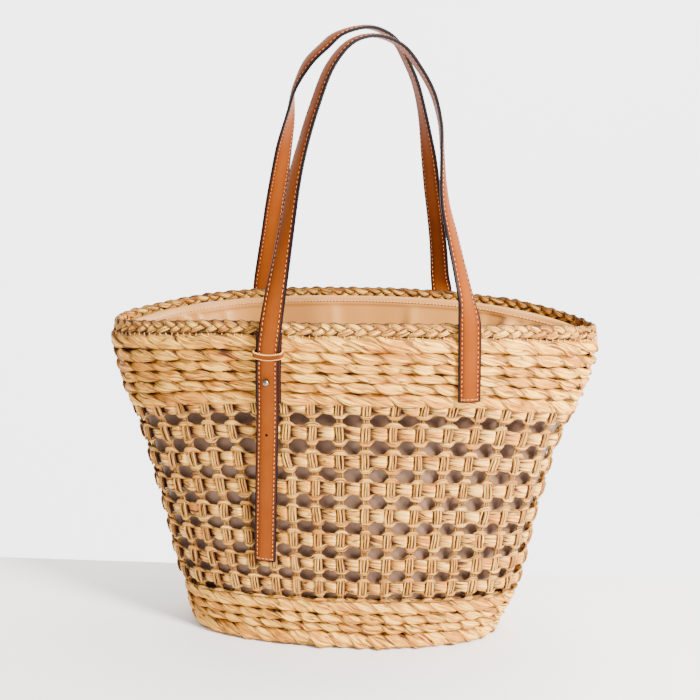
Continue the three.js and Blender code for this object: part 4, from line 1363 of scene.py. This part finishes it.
def strap_stitches(name, points, across, out):
    """Stitches along both edges and both faces of a strap, and across its two square ends."""
    strands = Strands()
    rng = np.random.default_rng(61)
    travel = np.concatenate([[0], np.cumsum(np.linalg.norm(np.diff(points, axis=0), axis=1))])
    seam = STRAP_WIDTH / 2 - STITCH_INSET

    def place_at(reach):
        parts = [[np.interp(reach, travel, axis) for axis in part.T] for part in (points, across, out)]
        return np.array(parts[0]), unit(np.array(parts[1])), unit(np.array(parts[2]))

    def sew(seat, run, side, face):
        bead = thread_bead(seat, run, side, face, STITCH_LENGTH, STITCH_THICKNESS)
        strands.add(bead, False, rng.random())

    start = travel[0] + STITCH_INSET
    end = travel[-1] - STITCH_INSET
    count = int((end - start) / STITCH_PITCH)
    for i in range(count + 1):
        centre, side, face = place_at(start + (end - start) * i / count)
        run = np.cross(face, side)
        for edge in (-1, 1):
            for face_side in (-1, 1):
                seat = centre + side * edge * seam
                seat = seat + face * face_side * (STRAP_THICKNESS / 2 - STITCH_SINK)
                tilt = run + side * STITCH_SWAY * rng.normal()
                sew(seat, unit(tilt), side, face * face_side)
    span = STRAP_WIDTH - 2 * STITCH_INSET
    count = int(span / STITCH_PITCH) + 1
    for reach in (start, end):
        centre, side, face = place_at(reach)
        for i in range(count):
            shift = span * ((i + 0.5) / count - 0.5)
            bulge = STRAP_DOME * (1 - 0.65 * (shift / seam) ** 2)
            for face_side in (-1, 1):
                lift = STRAP_THICKNESS / 2 + (bulge if face_side > 0 else 0)
                seat = centre + side * shift + face * face_side * lift
                sew(seat, side, np.cross(face, side), face * face_side)
    return strands.build(name, [THREAD])


def turned(parts, half):
    """Gives the back handle's places their half turn about the bag's middle."""
    return [part * np.array([half, half, 1.0]) for part in parts]


def on_band(half, tab, height):
    """The tab leg's place on the band at a height, on its own side of the bag."""
    return turned(band_frame(half, tab_leg_x(tab, height), height, 0), half)


# The keeper's section in halves of its height and wall, and the faces of it that are pale
KEEPER_SECTION = [(-1, -0.8), (-0.8, -1), (0.8, -1), (1, -0.8), (1, 0.6), (0.7, 1), (-0.7, 1), (-1, 0.6)]
KEEPER_PALE = [3, 4, 6, 7]
KEEPER_TINT = 0.3
CORNER_STEPS = 5
SIDE_STEPS = 8


def keeper(name, place, back, front):
    """The loop round strap and tab: a closed band with rounded corners, sagging in the middle."""
    point, across, up, out = place
    half = TAB_WIDTH / 2 + KEEPER_ROOM + KEEPER_WALL / 2
    depth = (front - back) / 2 + CLEARANCE + KEEPER_WALL / 2
    centre = (front + back) / 2
    outline = []
    for turn, (sx, sy) in enumerate(((1, -1), (1, 1), (-1, 1), (-1, -1))):
        for k in range(CORNER_STEPS + 1):
            angle = math.pi / 2 * (turn - 1 + k / CORNER_STEPS)
            cosine, sine = math.cos(angle), math.sin(angle)
            x = sx * (half - KEEPER_CORNER) + KEEPER_CORNER * cosine
            y = sy * (depth - KEEPER_CORNER) + KEEPER_CORNER * sine
            outline.append((x, y, cosine, sine))
        if turn in (1, 3):
            for k in range(1, SIDE_STEPS):
                x = sx * (half - KEEPER_CORNER) * (1 - 2 * k / SIDE_STEPS)
                outline.append((x, sy * depth, 0, sy))
    block = []
    for x, y, nx, ny in outline:
        sag = -KEEPER_SAG * (1 - (x / half) ** 2) if y > 0 else 0
        middle = point + across * x + out * (centre + y) + up * sag
        normal = across * nx + out * ny
        block.append([middle + up * a * KEEPER_HEIGHT / 2 + normal * b * KEEPER_WALL / 2
                      for a, b in KEEPER_SECTION])
    pale = np.zeros((len(block), len(KEEPER_SECTION)), dtype=int)
    pale[:, KEEPER_PALE] = 1
    strands = Strands()
    strands.add(np.array(block), True, KEEPER_TINT, finish=pale)
    return strands.build(name, [LEATHER, PALE_EDGE])


# The stud's radii: disc behind the tab, neck through tab and strap, collar on the strap, foot of the
# ball and the tiny ring at each pole
DISC_RADIUS = 4 * MM
DISC_ROUNDING = 0.2 * MM
NECK_RADIUS = 1.5 * MM
COLLAR_RADIUS = 1.9 * MM
BALL_FOOT_RADIUS = 1.8 * MM
POLE_RADIUS = 0.02 * MM
BALL_STEPS = 12
STUD_SIDES = 24


def ball_stud(name, place, back, front):
    """A ball on a neck with a small collar, and a back disc between tab and band."""
    point, across, up, out = place
    ball = STUD_BALL / 2
    seat = front + CLEARANCE
    profile = [
        (POLE_RADIUS, back),
        (DISC_RADIUS - DISC_ROUNDING, back),
        (DISC_RADIUS, back + 0.3 * MM),
        (DISC_RADIUS - DISC_ROUNDING, back + 0.8 * MM),
        (NECK_RADIUS, back + 0.9 * MM),
        (NECK_RADIUS, seat),
        (COLLAR_RADIUS, seat + 0.05 * MM),
        (COLLAR_RADIUS, seat + 0.3 * MM),
    ]
    centre = seat - 0.1 * MM + ball
    start = math.asin(BALL_FOOT_RADIUS / ball)
    for k in range(1, BALL_STEPS + 1):
        angle = start + (math.pi - start) * k / BALL_STEPS
        profile.append((max(ball * math.sin(angle), POLE_RADIUS), centre - ball * math.cos(angle)))
    block = []
    for radius, height in profile:
        ring = []
        for k in range(STUD_SIDES):
            angle = TAU * k / STUD_SIDES
            ring.append(point + out * height + (across * math.cos(angle) + up * math.sin(angle)) * radius)
        block.append(ring)
    strands = Strands()
    strands.add(np.array(block), False, 0)
    return strands.build(name, [STEEL])


def pierce(strap, place):
    """Cuts the adjusting hole through the tail."""
    point, across, up, out = place
    bpy.ops.object.select_all(action="DESELECT")
    turn = Matrix(np.column_stack([across, up, out]).tolist()).to_euler()
    bpy.ops.mesh.primitive_cylinder_add(
        vertices=HOLE_SIDES, radius=HOLE_RADIUS, depth=PUNCH_LENGTH, location=point, rotation=turn)
    punch = bpy.context.object
    punch.data.materials.append(EDGE_PAINT)
    cut = strap.modifiers.new("hole", "BOOLEAN")
    cut.operation = "DIFFERENCE"
    cut.solver = "EXACT"
    cut.material_mode = "TRANSFER"
    cut.object = punch
    punch.select_set(False)
    bpy.context.view_layer.objects.active = strap
    bpy.ops.object.modifier_apply(modifier="hole")
    bpy.data.objects.remove(punch)


def crisp(piece):
    """Smooth shading with the real corners left sharp."""
    bpy.ops.object.select_all(action="DESELECT")
    piece.select_set(True)
    bpy.context.view_layer.objects.active = piece
    bpy.ops.object.shade_smooth_by_angle(angle=math.radians(CRISP_ANGLE))
    piece.select_set(False)


for side, half, tab, foot, leg_turn, route in HANDLES:
    strap_parts = turned(handle_frames(half, tab, foot, leg_turn, route), half)
    strap = strip(f"handle_{side}_strap", *strap_parts, STRAP_WIDTH, STRAP_THICKNESS, STRAP_DOME)
    pierce(strap, on_band(half, tab, RIM_HEIGHT - ADJUSTING_DROP))
    crisp(strap)
    finish_piece(strap, f"handle_{side}")
    finish_piece(strap_stitches(f"handle_{side}_stitches", *strap_parts), None)

    tab_frames = []
    for height in np.linspace(TAB_TOP - TAB_LENGTH, TAB_TOP, TAB_STEPS):
        tab_frames.append(strap_place(half, tab_leg_x(tab, height), height, tab_stand(height)))
    tab_parts = turned([np.array(part) for part in zip(*tab_frames)], half)
    tab_piece = strip(f"strap_tab_{side}_leather", *tab_parts, TAB_WIDTH, TAB_THICKNESS, 0)
    crisp(tab_piece)
    finish_piece(tab_piece, f"strap_tab_{side}")

    back = tab_stand(KEEPER_MIDDLE) - TAB_THICKNESS / 2
    front = strap_stand(KEEPER_MIDDLE) + STRAP_THICKNESS / 2
    loop = keeper(f"keeper_{side}_loop", on_band(half, tab, KEEPER_MIDDLE), back, front)
    crisp(loop)
    finish_piece(loop, f"keeper_{side}")

    front = strap_stand(STUD_HEIGHT) + STRAP_THICKNESS / 2
    stud = ball_stud(f"stud_{side}_ball", on_band(half, tab, STUD_HEIGHT), CLEARANCE, front)
    crisp(stud)
    finish_piece(stud, f"stud_{side}")


# Floor, light and camera, in metres and degrees

CAMERA_DISTANCE = 1.178
CAMERA_HEIGHT = 0.552
CAMERA_YAW = 4.8
CAMERA_PITCH = 13.53
CAMERA_SIDE = -2.3 * MM
FOCAL_PIXELS = 1304
FRAME_PIXELS = 700
BENCH_BACK = 0.12
SENSOR = 36
FLOOR_SIZE = 6
FLOOR_DROP = 0.5 * MM
WALL_SIZE = 11
WALL_PLACE = (0, 2.6, 1.5)
WALL_GLOW = 3.0
SKY = (0.94, 0.96, 1.0, 1)
SKY_STRENGTH = 1.05
LIGHT_AIM = (0, 0, 0.2)

# Area lights: name, place, size in metres and power in watts
LIGHTS = [
    ("key", (1.2, -0.95, 1.1), 0.4, 140),
    ("top", (0.3, 0.2, 1.8), 0.8, 24),
]


def stage_plane(name, size, place, turn, finish):
    """A plane that belongs to the studio and not to the bag."""
    bpy.ops.mesh.primitive_plane_add(size=size, location=place, rotation=turn)
    plane = bpy.context.object
    plane.name = name
    plane.data.materials.append(finish.material)


def studio():
    """A white bench and wall, two lights and the photograph's camera."""
    paper = Finish("studio_paper")
    clouds = paper.noise(paper.object_place(), 3.0)
    paper.feed(Base_Color=paper.mix(clouds, tone(238, 236, 232), tone(232, 229, 224)), Roughness=0.8)
    middle = BENCH_BACK - FLOOR_SIZE / 2
    stage_plane("studio_floor", FLOOR_SIZE, (0, middle, -FLOOR_DROP), (0, 0, 0), paper)
    glow = Finish("studio_glow")
    glow.feed(Base_Color=tone(230, 230, 228), Emission_Color=(1, 1, 0.99, 1), Emission_Strength=WALL_GLOW)
    stage_plane("studio_wall", WALL_SIZE, WALL_PLACE, (math.pi / 2, 0, 0), glow)

    world = bpy.data.worlds.new("studio")
    bpy.context.scene.world = world
    world.use_nodes = True
    colour, strength = world.node_tree.nodes["Background"].inputs[:2]
    colour.default_value = SKY
    strength.default_value = SKY_STRENGTH

    for name, place, size, power in LIGHTS:
        light = bpy.data.lights.new(name, "AREA")
        light.energy = power
        light.size = size
        obj = bpy.data.objects.new(name, light)
        obj.location = place
        aim = unit(np.array(LIGHT_AIM) - np.array(place))
        obj.rotation_euler = (math.acos(-aim[2]), 0, math.atan2(aim[1], aim[0]) - math.pi / 2)
        bpy.context.scene.collection.objects.link(obj)

    camera = bpy.data.cameras.new("camera")
    camera.sensor_width = SENSOR
    camera.lens = SENSOR * FOCAL_PIXELS / FRAME_PIXELS
    obj = bpy.data.objects.new("camera", camera)
    yaw = math.radians(CAMERA_YAW)
    x = CAMERA_SIDE * math.cos(yaw) + CAMERA_DISTANCE * math.sin(yaw)
    y = CAMERA_SIDE * math.sin(yaw) - CAMERA_DISTANCE * math.cos(yaw)
    obj.location = (x, y, CAMERA_HEIGHT)
    obj.rotation_euler = (math.radians(90 - CAMERA_PITCH), 0, yaw)
    bpy.context.scene.collection.objects.link(obj)
    bpy.context.scene.camera = obj


studio()
